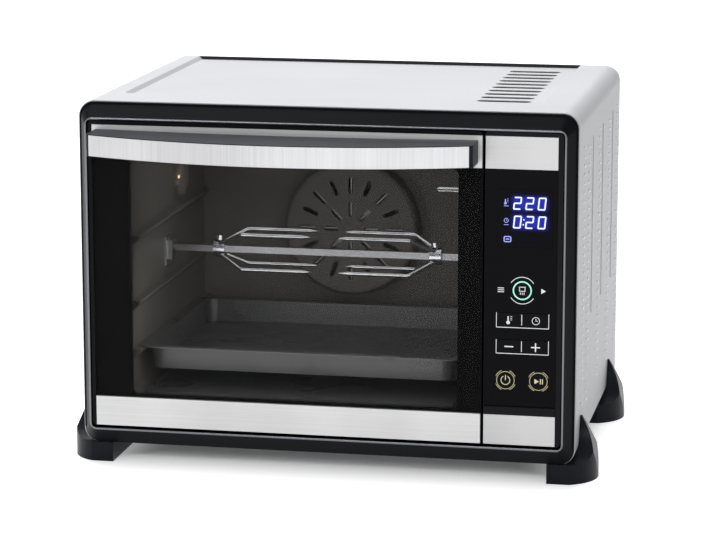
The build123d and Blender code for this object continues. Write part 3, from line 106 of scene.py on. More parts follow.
class Nodes:
    """Node tree, with short calls to add and join nodes."""

    def __init__(self, tree: bpy.types.NodeTree) -> None:
        """Remembers the tree."""
        self.tree = tree

    def add(self, kind: str, **values: object) -> bpy.types.Node:
        """Adds a node.

        Args:
            kind: Type of the node, without the leading word ShaderNode.
            **values: Properties of the node, or values of its inputs with _ for a space.

        Returns:
            The node.
        """
        node = self.tree.nodes.new("ShaderNode" + kind)
        for key, value in values.items():
            if hasattr(node, key):
                setattr(node, key, value)
            else:
                node.inputs[key.replace("_", " ").title()].default_value = value
        return node

    def join(self, source: Socket, target: Socket) -> None:
        """Links two sockets."""
        self.tree.links.new(source, target)

    def math(self, operation: str, first: Socket | float, second: Socket | float = 0.0) -> Socket:
        """Adds a Math node.

        Args:
            operation: Its operation.
            first: Number or socket.
            second: Number or socket.

        Returns:
            Its result.
        """
        node = self.add("Math", operation=operation)
        for index, value in enumerate((first, second)):
            if isinstance(value, (int, float)):
                node.inputs[index].default_value = value
            else:
                self.join(value, node.inputs[index])
        return node.outputs[0]

    def vary(self, value: Socket, low: float, high: float, start: float = 0.0, end: float = 1.0,
             course: str = "LINEAR") -> Socket:
        """Maps a value from one range to another.

        Args:
            value: The value.
            low: Result at the start of its range.
            high: Result at the end of its range.
            start: Start of the value's range.
            end: End of the value's range.
            course: How the result runs from low to high.

        Returns:
            The result.
        """
        node = self.add("MapRange", interpolation_type=course, from_min=start, from_max=end, to_min=low,
                        to_max=high)
        self.join(value, node.inputs["Value"])
        return node.outputs[0]

    def shown(self) -> Socket:
        """Mask of what the camera sees directly, in a reflection or through glass.

        Returns:
            The mask.
        """
        paths = self.add("LightPath").outputs
        mask = paths["Is Camera Ray"]
        for ray in ("Is Glossy Ray", "Is Transmission Ray"):
            mask = self.math("MAXIMUM", mask, paths[ray])
        return mask


class Graph(Nodes):
    """Nodes of one material."""

    def __init__(self, name: str) -> None:
        """Makes the material and finds its shader.

        Args:
            name: Name of the material.
        """
        self.material = bpy.data.materials.new(name)
        self.material.use_nodes = True
        super().__init__(self.material.node_tree)
        self.shader = self.tree.nodes["Principled BSDF"]

    def place(self, scale: Sequence[float] = (1, 1, 1), offset: Sequence[float] = (0, 0, 0)) -> Socket:
        """Object coordinates, scaled and moved.

        Args:
            scale: Scale along each axis.
            offset: Point that becomes the origin, in metres.

        Returns:
            The coordinates.
        """
        coordinates = self.add("TexCoord").outputs["Object"]
        mapping = self.add("Mapping", vector_type="POINT")
        mapping.inputs["Location"].default_value = [-shift * size for shift, size in zip(offset, scale)]
        mapping.inputs["Scale"].default_value = scale
        self.join(coordinates, mapping.inputs["Vector"])
        return mapping.outputs[0]

    def axes(self, origin: Sequence[float] = (0, 0, 0)) -> Sequence[Socket]:
        """X, Y and Z of the surface.

        Args:
            origin: Point from which they count, in metres.

        Returns:
            The three, in metres.
        """
        split = self.add("SeparateXYZ")
        self.join(self.place(offset=origin), split.inputs[0])
        return split.outputs

    def past(self, halves: dict[int, float], middle: Sequence[float] = (0, 0, 0)) -> list[Socket]:
        """How far the surface is past a box, below zero inside it.

        Args:
            halves: Half of the box's size along each axis, by the axis's number.
            middle: Middle of the box, in metres.

        Returns:
            The distance along each of the axes, in metres.
        """
        axes = self.axes(middle)
        return [self.math("SUBTRACT", self.math("ABSOLUTE", axes[axis]), half * MM)
                for axis, half in halves.items()]

    def noise(self, scale: float, detail: float = 2.0, stretch: Sequence[float] = (1, 1, 1)) -> Socket:
        """Noise over the object.

        Args:
            scale: Size of the noise, in cycles per metre.
            detail: Octaves.
            stretch: Scale along each axis.

        Returns:
            The noise's value.
        """
        texture = self.add("TexNoise", scale=scale, detail=detail)
        self.join(self.place(stretch), texture.inputs["Vector"])
        return texture.outputs[0]

    def mixed(self, first: Socket, share: float, second: Socket) -> Socket:
        """Adds two values by their shares.

        Args:
            first: The first value.
            share: Its share of the whole.
            second: The second value, which has the rest.

        Returns:
            The sum.
        """
        part = self.math("MULTIPLY", first, share)
        return self.math("ADD", part, self.math("MULTIPLY", second, 1 - share))

    def ramp(self, value: Socket, *stops: tuple[float, Colour]) -> Socket:
        """Colour that runs between two others.

        Args:
            value: The value that it follows.
            *stops: Place on the value and colour of both ends.

        Returns:
            The colour.
        """
        node = self.add("ValToRGB")
        for element, (position, colour) in zip(node.color_ramp.elements, stops):
            element.position = position
            element.color = (*colour, 1)
        self.join(value, node.inputs[0])
        return node.outputs[0]

    def tint(self, value: Socket, colour: Colour, tones: Stops) -> Socket:
        """Colour that a value makes darker and lighter.

        Args:
            value: The value.
            colour: The colour.
            tones: Place on the value and factor of the colour, for both ends.

        Returns:
            The tinted colour.
        """
        return self.ramp(value, *((place, shaded(colour, factor)) for place, factor in tones))

    def blend(self, mask: Socket, first: Socket, second: Colour) -> Socket:
        """Mixes a colour with an even one by a mask.

        Args:
            mask: 0 for the first colour, 1 for the second.
            first: Socket of the first colour.
            second: The second colour.

        Returns:
            The mixed colour.
        """
        node = self.add("Mix", data_type="RGBA")
        factor, colour_a, colour_b = node.inputs[0], node.inputs[6], node.inputs[7]
        self.join(mask, factor)
        self.join(first, colour_a)
        colour_b.default_value = (*second, 1)
        return node.outputs[2]

    def surface(self, height: Socket, strength: float, distance: float, edge: float) -> None:
        """Sets the normal: small rounding of edges, and a bump over it.

        Args:
            height: Height of the bump.
            strength: Strength of the bump.
            distance: Height of the bump, in metres.
            edge: Radius of the rounding; 0 for a surface that touches another.
        """
        bump = self.add("Bump", strength=strength, distance=distance)
        self.join(height, bump.inputs["Height"])
        if edge:
            rounding = self.add("Bevel", samples=4, radius=edge * MM)
            self.join(rounding.outputs[0], bump.inputs["Normal"])
        self.feed(Normal=bump.outputs[0])

    def feed(self, **sources: Socket) -> None:
        """Joins sockets to inputs of the shader by name, with _ for a space."""
        for key, source in sources.items():
            self.join(source, self.shader.inputs[key.replace("_", " ")])

    def plain(self, **values: object) -> None:
        """Sets inputs of the shader by name, with _ for a space."""
        for key, value in values.items():
            self.shader.inputs[key.replace("_", " ")].default_value = value


def shaded(colour: Colour, factor: float) -> Colour:
    """Colour made lighter or darker."""
    return tuple(min(1.0, part * factor) for part in colour)


@dataclass(frozen=True)
class Finish:
    """Named finish of one colour; each kind lays its own nodes.

    In every kind, tones say how far the colour strays and uneven how far the roughness does. Scales
    are in cycles per metre, and heights of bumps in metres.
    """

    name: str
    colour: Colour

    def lay(self, graph: Graph) -> None:
        """Adds the nodes of this kind of finish."""
        raise NotImplementedError

    def make(self) -> Material:
        """Builds the material.

        Returns:
            The material.
        """
        graph = Graph(self.name)
        self.lay(graph)
        return graph.material


@dataclass(frozen=True)
class Moulding(Finish):
    """Moulded plastic with a fine spark-eroded grain, and a polished ridge where it has one.

    The ridge is what stands in front of a depth of that name: polished, and lighter as a painted highlight.
    """

    roughness: float
    specular: float
    grain: float = 0.2
    edge: float = 0.5
    ridge: float | None = None
    # Lighter colour of the ridge: a painted highlight.
    ridge_highlight_colour: Colour = (0.15, 0.155, 0.17)
    ridge_blur: float = 0.3
    ridge_polish: float = 0.6
    tones: Stops = ((0.3, 0.9), (0.7, 1.12))
    uneven: Pair = (-0.05, 0.06)
    cloud_scale: float = 14.0
    grain_scale: float = 2600.0
    grain_height: float = 0.00006

    def lay(self, graph: Graph) -> None:
        """Adds the grain, and the ridge in front of its depth: polished, with a painted highlight in its
        colour.

        Args:
            graph: Nodes of the material.
        """
        cloud = graph.noise(self.cloud_scale, 3)
        colour = graph.tint(cloud, self.colour, self.tones)
        rough = graph.vary(cloud, *(self.roughness + change for change in self.uneven))
        if self.ridge is not None:
            depth = graph.axes(at(0, self.ridge, 0))[1]
            front = graph.vary(depth, 0.0, 1.0, self.ridge_blur * MM, 0.0)
            polish = graph.math("MULTIPLY", front, self.roughness * self.ridge_polish)
            # Painted highlight: the ridge's colour is blended to a lighter metallic one; its lower roughness
            # is real polish.
            colour = graph.blend(front, colour, self.ridge_highlight_colour)
            rough = graph.math("SUBTRACT", rough, polish)
            graph.feed(Metallic=front)
        graph.feed(Base_Color=colour, Roughness=rough)
        graph.plain(Specular_IOR_Level=self.specular)
        graph.surface(graph.noise(self.grain_scale, 1), self.grain, self.grain_height, self.edge)


@dataclass(frozen=True)
class Brushed(Finish):
    """Brushed sheet steel with fine parallel streaks and broader ones."""

    way: Way
    roughness: float
    metallic: float
    streaks: float = 0.25
    edge: float = 0.35
    bands: float = 0.12
    band_places: Pair = (0.38, 0.62)
    uneven: Pair = (-0.08, 0.12)
    streak_scale: float = 9000.0
    along_scale: float = 18.0
    streak_height: float = 0.00003
    times_broader: float = 14.0
    fine_share: float = 0.6
    cloud_scale: float = 7.0
    cloud_stretch: Corner = (1.0, 0.1, 0.1)
    streak_share: float = 0.4

    def lay(self, graph: Graph) -> None:
        """Adds fine and broad streaks over a faint cloud.

        Args:
            graph: Nodes of the material.
        """
        stretch = [self.streak_scale] * 3
        stretch[self.way.value] = self.along_scale
        fine = graph.noise(1.0, stretch=stretch)
        broad = graph.noise(1.0, stretch=[scale / self.times_broader for scale in stretch])
        streaks = graph.mixed(fine, self.fine_share, broad)
        cloud = graph.noise(self.cloud_scale, stretch=self.cloud_stretch)
        toned = graph.mixed(streaks, self.streak_share, cloud)
        tones = tuple(zip(self.band_places, (1 - self.bands, 1 + self.bands)))
        graph.feed(Base_Color=graph.tint(toned, self.colour, tones),
                   Roughness=graph.vary(streaks, *(self.roughness + change for change in self.uneven)))
        graph.plain(Metallic=self.metallic)
        graph.surface(streaks, self.streaks, self.streak_height, self.edge)


@dataclass(frozen=True)
class Painted(Finish):
    """Sheet metal with a metallic lacquer and a faint orange peel."""

    metallic: float
    roughness: float
    specular: float = 0.5
    peel: float = 0.15
    edge: float = 0.5
    tones: Stops = ((0.3, 0.94), (0.7, 1.06))
    uneven: Pair = (-0.04, 0.05)
    cloud_scale: float = 7.0
    cloud_share: float = 0.6
    flake_scale: float = 3800.0
    peel_scale: float = 420.0
    peel_height: float = 0.00004

    def lay(self, graph: Graph) -> None:
        """Adds flakes, a faint cloud and the orange peel.

        Args:
            graph: Nodes of the material.
        """
        cloud = graph.noise(self.cloud_scale, 3)
        flecks = graph.mixed(cloud, self.cloud_share, graph.noise(self.flake_scale, 1))
        graph.feed(Base_Color=graph.tint(flecks, self.colour, self.tones),
                   Roughness=graph.vary(cloud, *(self.roughness + change for change in self.uneven)))
        graph.plain(Metallic=self.metallic, Specular_IOR_Level=self.specular)
        graph.surface(graph.noise(self.peel_scale), self.peel, self.peel_height, self.edge)


@dataclass(frozen=True)
class Metal(Finish):
    """Bare metal: chromed, turned or dull."""

    roughness: float
    edge: float = 0.25
    tones: Stops = ((0.25, 0.8), (0.75, 1.1))
    uneven: Pair = (0.7, 1.5)
    cloud_scale: float = 90.0
    bump: float = 0.1
    bump_height: float = 0.00005

    def lay(self, graph: Graph) -> None:
        """Adds a cloud that colour, roughness and bump follow.

        Args:
            graph: Nodes of the material.
        """
        cloud = graph.noise(self.cloud_scale, 4)
        graph.feed(Base_Color=graph.tint(cloud, self.colour, self.tones),
                   Roughness=graph.vary(cloud, *(self.roughness * factor for factor in self.uneven)))
        graph.plain(Metallic=1.0)
        graph.surface(cloud, self.bump, self.bump_height, self.edge)


@dataclass(frozen=True)
class Gloss(Finish):
    """High-gloss plastic or enamel with a faint ripple."""

    roughness: float
    specular: float
    edge: float = 0.3
    tones: Stops = ((0.3, 0.92), (0.7, 1.1))
    uneven: Pair = (0.7, 1.5)
    smear_scale: float = 12.0
    ripple: float = 0.05
    ripple_scale: float = 35.0
    ripple_height: float = 0.0001

    def lay(self, graph: Graph) -> None:
        """Adds smears and the ripple.

        Args:
            graph: Nodes of the material.
        """
        smear = graph.noise(self.smear_scale, 4)
        graph.feed(Base_Color=graph.tint(smear, self.colour, self.tones),
                   Roughness=graph.vary(smear, *(self.roughness * factor for factor in self.uneven)))
        graph.plain(Specular_IOR_Level=self.specular)
        graph.surface(graph.noise(self.ripple_scale), self.ripple, self.ripple_height, self.edge)


@dataclass(frozen=True)
class Pane(Finish):
    """Tinted glass that shows what is behind it."""

    alpha: float
    roughness: float
    specular: float
    tones: Stops = ((0.3, 0.9), (0.7, 1.1))
    uneven: Pair = (0.8, 1.3)
    film_scale: float = 9.0

    def lay(self, graph: Graph) -> None:
        """Adds a faint film over the glass.

        Args:
            graph: Nodes of the material.
        """
        film = graph.noise(self.film_scale, 3)
        graph.feed(Base_Color=graph.tint(film, self.colour, self.tones),
                   Roughness=graph.vary(film, *(self.roughness * factor for factor in self.uneven)))
        graph.plain(Alpha=self.alpha, Specular_IOR_Level=self.specular)


@dataclass(frozen=True)
class Light(Finish):
    """Surface that gives off light, such as a lit digit."""

    strength: float
    tones: Stops = ((0.2, 0.9), (0.8, 1.0))
    speck_scale: float = 600.0
    unlit: float = 0.4
    roughness: float = 0.5

    def lay(self, graph: Graph) -> None:
        """Adds slightly uneven light.

        Args:
            graph: Nodes of the material.
        """
        specks = graph.noise(self.speck_scale, 1)
        graph.feed(Emission_Color=graph.tint(specks, self.colour, self.tones))
        graph.plain(Emission_Strength=self.strength, Base_Color=(*shaded(self.colour, self.unlit), 1),
                    Roughness=self.roughness)


@dataclass(frozen=True)
class Glow(Finish):
    """Soft light round lit digits on the dark window, which fades out over a box."""

    strength: float
    middle: Vector
    half: Pair
    fade: float
    window: Colour = (0.002, 0.002, 0.005)
    roughness: float = 0.06
    specular: float = 0.05

    def lay(self, graph: Graph) -> None:
        """Adds light that falls off with the distance from the box.

        Args:
            graph: Nodes of the material.
        """
        past = [graph.math("MAXIMUM", axis, 0.0)
                for axis in graph.past({0: self.half[0], 2: self.half[1]}, self.middle)]
        across, up = (graph.math("MULTIPLY", value, value) for value in past)
        distance = graph.math("SQRT", graph.math("ADD", across, up))
        near = graph.math("SUBTRACT", 1.0, graph.math("DIVIDE", distance, self.fade * MM))
        soft = graph.math("POWER", graph.math("MAXIMUM", near, 0.0), 2.0)
        graph.feed(Emission_Color=graph.ramp(soft, (0.0, (0, 0, 0)), (1.0, self.colour)))
        graph.plain(Emission_Strength=self.strength, Base_Color=(*self.window, 1), Roughness=self.roughness,
                    Specular_IOR_Level=self.specular)


@dataclass(frozen=True)
class Finishes:
    """The finishes of the whole oven, each made once."""

    moulding: Finish = Moulding("black satin moulding", (0.0026, 0.0031, 0.0052), 0.34, 0.04, ridge=-16.6)
    grip: Finish = Moulding("blue-black grip moulding", (0.010, 0.0125, 0.0165), 0.36, 0.08, edge=0.8)
    foot: Finish = Moulding("black foot moulding", (0.008, 0.0095, 0.014), 0.34, 0.10, edge=0.9)
    carrier: Finish = Moulding("black panel carrier", (0.006, 0.006, 0.008), 0.4, 0.1, edge=0.3)
    leaf: Finish = Moulding("black door leaf", (0.005, 0.005, 0.006), 0.45, 0.08, edge=0.0)
    seal: Finish = Moulding("black seal rubber", (0.02, 0.02, 0.02), 0.7, 0.2, grain=0.5, edge=0.8)
    case: Finish = Painted("silver case lacquer", (0.55, 0.555, 0.58), 0.12, 0.44, specular=0.08)
    # Lighter and glossier than the case lacquer on the same sheet: a painted highlight on the dimples.
    dimple: Finish = Painted("dimple lacquer with painted highlight", (0.68, 0.685, 0.71), 0.3, 0.30)
    rear: Finish = Painted("black rear sheet", (0.016, 0.016, 0.018), 0.1, 0.5, specular=0.25)
    base: Finish = Painted("zinc base sheet", (0.42, 0.43, 0.44), 0.7, 0.45)
    cavity: Finish = Painted("dark cavity enamel", (0.16, 0.15, 0.135), 0.1, 0.5, specular=0.3, edge=0.2)
    strip: Finish = Brushed("brushed door strip", (0.78, 0.78, 0.785), Way.ACROSS, 0.32, 0.3)
    plate: Finish = Brushed("brushed panel plate", (0.49, 0.49, 0.495), Way.ACROSS, 0.34, 0.7)
    grip_face: Finish = Brushed("brushed handle face", (0.60, 0.60, 0.61), Way.UP, 0.32, 0.8, streaks=0.2,
                                bands=0.2)
    chrome: Finish = Metal("chromed steel", (0.66, 0.67, 0.69), 0.14)
    turned: Finish = Metal("turned steel", (0.30, 0.30, 0.31), 0.3)
    dull: Finish = Metal("dull steel", (0.42, 0.42, 0.43), 0.38)
    heater: Finish = Metal("heat-tinted sheath", (0.22, 0.19, 0.17), 0.42)
    tray: Finish = Gloss("dark tray enamel", (0.075, 0.075, 0.078), 0.26, 0.5)
    fascia: Finish = Gloss("black gloss fascia", (0.0022, 0.0022, 0.0035), 0.07, 0.05)
    key: Finish = Gloss("black gloss key", (0.0025, 0.0025, 0.004), 0.09, 0.06)
    window: Finish = Gloss("black display window", (0.002, 0.002, 0.005), 0.06, 0.05)
    board: Finish = Gloss("green circuit board", (0.02, 0.10, 0.04), 0.35, 0.4)
    ceramic: Finish = Gloss("white ceramic", (0.82, 0.80, 0.74), 0.4, 0.5)
    outer_glass: Finish = Pane("smoked outer glass", (0.006, 0.006, 0.006), 0.34, 0.02, 0.06)
    inner_glass: Finish = Pane("clear inner glass", (0.02, 0.02, 0.02), 0.05, 0.02, 0.02)
    lamp_glass: Finish = Pane("warm lamp glass", (0.40, 0.36, 0.3), 0.3, 0.08, 0.5)
    bulb_glass: Finish = Pane("warm bulb glass", (0.30, 0.25, 0.18), 0.35, 0.05, 0.6)
    filament: Finish = Light("lit filament", (1.0, 0.74, 0.36), 9.0)
    digit: Finish = Light("lit digit", (0.70, 0.78, 1.0), 1.1)
    icon: Finish = Light("lit icon", (0.36, 0.38, 0.95), 0.9)
    mint: Finish = Light("mint light", (0.36, 0.92, 0.70), 0.8)
    white_print: Finish = Light("white print", (0.90, 0.91, 0.92), 0.6)
    yellow_print: Finish = Light("pale yellow print", (0.90, 0.84, 0.50), 0.5)


class Paintbox:
    """Keeps each finish's material after it is first asked for."""

    def __init__(self) -> None:
        """Starts with no material made."""
        self.finishes = Finishes()
        self.made: dict[str, Material] = {}

    def get(self, finish: Finish) -> Material:
        """Material of a finish.

        Args:
            finish: One of the finishes.

        Returns:
            Its material, made on the first call.
        """
        if finish.name not in self.made:
            self.made[finish.name] = finish.make()
        return self.made[finish.name]

    def dress(self, finish: Finish, *nodes: str) -> None:
        """Gives CAD nodes a finish.

        Args:
            finish: The finish.
            *nodes: Names of the nodes.
        """
        for node in nodes:
            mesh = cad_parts[node].data
            mesh.materials.clear()
            mesh.materials.append(self.get(finish))
            log.info("%s: %s", node, finish.name)


# Modelling by operators


def deselect() -> None:
    """Leaves edit mode and selects nothing."""
    if bpy.context.object and bpy.context.object.mode != "OBJECT":
        bpy.ops.object.mode_set(mode="OBJECT")
    bpy.ops.object.select_all(action="DESELECT")


def pick(piece: Piece) -> None:
    """Selects one object and makes it active.

    Args:
        piece: The object.
    """
    deselect()
    piece.select_set(True)
    bpy.context.view_layer.objects.active = piece


class Editing:
    """Edit mode on one piece, with faces or edges selected in code."""

    def __init__(self, piece: Piece) -> None:
        """Remembers the piece."""
        self.piece = piece

    def __enter__(self) -> "Editing":
        """Enters edit mode with the whole piece selected.

        Returns:
            This object.
        """
        pick(self.piece)
        bpy.ops.object.mode_set(mode="EDIT")
        bpy.ops.mesh.select_mode(type="FACE")
        bpy.ops.mesh.select_all(action="SELECT")
        return self

    def __exit__(self, *_: object) -> None:
        """Goes back to object mode."""
        bpy.ops.object.mode_set(mode="OBJECT")

    def faces(self, test: Callable[[Vector, Vector], bool]) -> None:
        """Selects the faces that pass a test.

        Args:
            test: Takes a face's middle in world space and its normal.
        """
        bpy.ops.mesh.select_all(action="DESELECT")
        shape = bmesh.from_edit_mesh(self.piece.data)
        world = self.piece.matrix_world
        for face in shape.faces:
            face.select_set(test(world @ face.calc_center_median(), world.to_3x3() @ face.normal))
        bmesh.update_edit_mesh(self.piece.data)

    def open_edges(self) -> None:
        """Selects the edges that only one face uses."""
        bpy.ops.mesh.select_mode(type="EDGE")
        bpy.ops.mesh.select_all(action="DESELECT")
        bpy.ops.mesh.select_non_manifold()


def bevel(piece: Piece, width: float, angle: float = 40.0) -> None:
    """Cuts the sharp edges of a piece.

    Args:
        piece: The piece.
        width: Width of the cut.
        angle: Smallest angle that counts as an edge, in degrees.
    """
    modifier = piece.modifiers.new("edges", "BEVEL")
    modifier.width = width * MM
    modifier.segments = 1
    modifier.limit_method = "ANGLE"
    modifier.angle_limit = math.radians(angle)
    pick(piece)
    bpy.ops.object.modifier_apply(modifier=modifier.name)


def settle(piece: Piece, body: str, material: Material) -> None:
    """Puts a piece's place in its mesh, dresses it and lets it ride.

    Args:
        piece: The piece.
        body: Body that it moves with.
        material: Its material.
    """
    pick(piece)
    bpy.ops.object.transform_apply(location=True, rotation=True, scale=True)
    bpy.ops.object.shade_smooth_by_angle(angle=SMOOTH_ANGLE)
    piece.data.materials.clear()
    piece.data.materials.append(material)
    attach(piece, body)
    log.info("piece %s rides on %s", piece.name, body)


def merge(name: str, pieces: Sequence[Piece]) -> Piece:
    """Joins pieces into one object.

    Args:
        name: Name of the result.
        pieces: The pieces.

    Returns:
        The joined piece.
    """
    deselect()
    for piece in pieces:
        piece.select_set(True)
    bpy.context.view_layer.objects.active = pieces[0]
    if len(pieces) > 1:
        bpy.ops.object.join()
    bpy.context.object.name = name
    bpy.context.object.data.name = name
    return bpy.context.object


def copy_of(piece: Piece, shift: Vector) -> Piece:
    """Copies a piece with its own mesh.

    Args:
        piece: The piece.
        shift: Way from it to the copy, in metres.

    Returns:
        The copy.
    """
    twin = piece.copy()
    twin.data = piece.data.copy()
    bpy.context.scene.collection.objects.link(twin)
    twin.location = piece.location + shift
    return twin


def round_corners(radius: float, steps: int) -> None:
    """Rounds the corners of the flat outline that is being edited; one step cuts them straight."""
    bpy.ops.mesh.bevel(offset=radius * MM, segments=steps, affect="VERTICES", clamp_overlap=True)


def thicken(thick: float = PRINT_THICK) -> None:
    """Extrudes the flat outline that is being edited to the rear, and points its faces outwards.

    Args:
        thick: Its thickness.
    """
    bpy.ops.mesh.select_all(action="SELECT")
    bpy.ops.mesh.extrude_region_move(TRANSFORM_OT_translate={"value": (0, thick * MM, 0)})
    bpy.ops.mesh.select_all(action="SELECT")
    bpy.ops.mesh.normals_make_consistent(inside=False)


def bar(place: Corner, width: float, height: float, thick: float = PRINT_THICK, corner: float = 0.1,
        steps: int = 3, lean: float = 0.0) -> Piece:
    """Thin upright bar with cut or rounded corners.

    Args:
        place: Middle of its front face.
        width: Size along X.
        height: Size along Z.
        thick: Thickness behind the front face.
        corner: Length taken off each side at a corner.
        steps: Faces round a corner; one cuts it straight.
        lean: Turn to the right, in degrees.

    Returns:
        The piece.
    """
    deselect()
    turn = (UPRIGHT, math.radians(lean), 0)
    bpy.ops.mesh.primitive_plane_add(size=1, location=at(*place), rotation=turn)
    piece = bpy.context.object
    piece.scale = (width * MM, height * MM, 1)
    bpy.ops.object.transform_apply(location=False, rotation=False, scale=True)
    with Editing(piece):
        round_corners(corner, steps)
        thicken(thick)
    return piece


@dataclass(frozen=True)
class Stroke:
    """Straight mark of a sign; right and up are its place from the sign's middle."""

    right: float
    up: float
    width: float
    height: float
    corner: float = 0.1

    def draw(self, x: float, y: float, z: float) -> Piece:
        """Makes the mark of a sign that has its middle at X, Z and its front at Y."""
        return bar((x + self.right, y, z + self.up), self.width, self.height, corner=self.corner)


@dataclass(frozen=True)
class Hoop:
    """Ring of a sign, or equal arcs spread round it.

    Angles are in degrees, from the right upwards: first is the middle of the first arc, and half is
    how far an arc reaches to either side of its middle. With no arcs the ring is whole.
    """

    outer: float
    inner: float
    right: float = 0.0
    up: float = 0.0
    steps: int = 64
    arcs: int = 0
    first: float = 0.0
    half: float = 0.0

    def keeps(self, away: Vector) -> bool:
        """Says if a way from the middle leads to one of the arcs.

        Args:
            away: The way.

        Returns:
            Whether it does.
        """
        apart = 360 / self.arcs
        angle = math.degrees(math.atan2(away.z, away.x)) - self.first
        return abs((angle + apart / 2) % apart - apart / 2) < self.half

    def draw(self, x: float, y: float, z: float) -> Piece:
        """Makes the ring or its arcs.

        Args:
            x: Middle of the sign, to the right.
            y: Depth of its front.
            z: Middle of the sign, up.

        Returns:
            The piece.
        """
        deselect()
        middle = at(x + self.right, y, z + self.up)
        bpy.ops.mesh.primitive_circle_add(vertices=self.steps, radius=self.outer * MM, fill_type="NOTHING",
                                          location=middle, rotation=(UPRIGHT, 0, 0))
        piece = bpy.context.object
        ratio = self.inner / self.outer
        with Editing(piece) as edit:
            bpy.ops.mesh.select_mode(type="VERT")
            bpy.ops.mesh.select_all(action="SELECT")
            bpy.ops.mesh.extrude_edges_move()
            bpy.ops.transform.resize(value=(ratio, ratio, ratio), center_override=middle)
            bpy.ops.mesh.select_mode(type="FACE")
            if self.arcs:
                edit.faces(lambda spot, _: not self.keeps(spot - middle))
                bpy.ops.mesh.delete(type="FACE")
            thicken()
        return piece


@dataclass(frozen=True)
class Arrow:
    """Triangle of a sign that points to the right; size is from its middle to a corner."""

    right: float
    size: float = 3.0
    corner: float = 0.25

    def draw(self, x: float, y: float, z: float) -> Piece:
        """Makes the triangle.

        Args:
            x: Middle of the sign, to the right.
            y: Depth of its front.
            z: Middle of the sign, up.

        Returns:
            The piece.
        """
        deselect()
        bpy.ops.mesh.primitive_circle_add(vertices=3, radius=self.size * MM, fill_type="NGON",
                                          location=at(x + self.right, y, z), rotation=(UPRIGHT, UPRIGHT, 0))
        piece = bpy.context.object
        with Editing(piece):
            round_corners(self.corner, 2)
            thicken()
        return piece


Sign = tuple[Stroke | Hoop | Arrow, ...]


def stack(first: Stroke, step: float, count: int) -> Sign:
    """Equal strokes above each other.

    Args:
        first: The lowest stroke.
        step: Height from one to the next.
        count: Number of strokes.

    Returns:
        The strokes.
    """
    return tuple(replace(first, up=first.up + number * step) for number in range(count))


# Sub-assemblies


@dataclass
class Case:
    """Front frame, wrapped case, rear, base and feet."""

    paint: Paintbox
    half_width: float = 250.0
    dimple_depths: tuple[float, ...] = (45.0, 85.0, 178.0, 269.0, 350.0)
    dimple_top: float = 330.0
    dimple_pitch: float = 8.9
    dimple_count: int = 30
    dimple_size: Corner = (1.4, 3.4, 1.8)
    screw_radius: float = 4.0
    cross_size: Pair = (4.2, 0.9)
    cross_sunk: float = 0.02
    cross_thick: float = 0.06

    def dress(self) -> None:
        """Gives the CAD nodes their finishes."""
        finish = self.paint.finishes
        self.paint.dress(finish.moulding, "front_frame", "cord_gland")
        feet = [f"foot_{end}_{side}" for end in ("front", "rear") for side in ("left", "right")]
        self.paint.dress(finish.foot, *feet)
        self.paint.dress(finish.case, "outer_case")
        self.paint.dress(finish.rear, "rear_panel")
        self.paint.dress(finish.base, "base_plate")
        self.paint.dress(finish.dull, "rear_screws")

    def dimples(self, side: int) -> None:
        """Rows of small pressed dimples on one side of the case, lighter than the case as a painted
        highlight.

        Args:
            side: -1 for the left side, 1 for the right.
        """
        deselect()
        start = at(side * self.half_width, self.dimple_depths[0], self.dimple_top)
        bpy.ops.mesh.primitive_uv_sphere_add(segments=12, ring_count=8, radius=MM, location=start)
        first = bpy.context.object
        first.scale = self.dimple_size
        bpy.ops.object.transform_apply(location=False, rotation=False, scale=True)
        with Editing(first) as edit:
            edit.faces(lambda spot, _: (spot.x - start.x) * side < 0)
            bpy.ops.mesh.delete(type="FACE")
        copies = [first]
        for column, depth in enumerate(self.dimple_depths):
            for number in range(self.dimple_count):
                drop = (number + column % 2 / 2) * self.dimple_pitch
                shift = Vector((0, (depth - self.dimple_depths[0]) * MM, -drop * MM))
                if shift.length > 0:
                    copies.append(copy_of(first, shift))
        name = "dimples_left" if side < 0 else "dimples_right"
        piece = merge(name, copies)
        # The dimples take the lighter finish: a painted highlight.
        settle(piece, "oven", self.paint.get(self.paint.finishes.dimple))

    def screw_recess_shade(self) -> None:
        """Black crosses on the heads of the rear screws: painted shade where their cross recesses are."""
        low, high = node_box("rear_screws")
        left, right = low[0] + self.screw_radius, high[0] - self.screw_radius
        long, wide = self.cross_size
        crosses = []
        for x in (left, (left + right) / 2, right):
            for z in (low[2] + self.screw_radius, high[2] - self.screw_radius):
                for size in ((long, wide), (wide, long)):
                    crosses.append(bar((x, high[1] - self.cross_sunk, z), *size, self.cross_thick))
        # The black crosses are painted shade in the recesses, in the dark rear-sheet finish.
        piece = merge("rear_screw_cross_shade", crosses)
        settle(piece, "oven", self.paint.get(self.paint.finishes.rear))

    def build(self) -> None:
        """Builds and dresses the case."""
        self.dress()
        for side in (-1, 1):
            self.dimples(side)
        self.screw_recess_shade()


@dataclass
class Door:
    """Drop-down door with its panes, strips and handle."""

    paint: Paintbox

    def dress(self) -> None:
        """Gives the CAD nodes their finishes."""
        finish = self.paint.finishes
        self.paint.dress(finish.leaf, "door_frame")
        self.paint.dress(finish.outer_glass, "door_outer_glass")
        self.paint.dress(finish.inner_glass, "door_inner_glass")
        self.paint.dress(finish.strip, "door_top_strip", "door_bottom_strip")
        self.paint.dress(finish.grip, "handle_body")
        self.paint.dress(finish.grip_face, "handle_trim")
        self.paint.dress(finish.dull, "handle_screws", "door_stays", "hinge_brackets")
        self.paint.dress(finish.chrome, "hinge_pins")

    def build(self) -> None:
        """Dresses the door's CAD nodes."""
        self.dress()


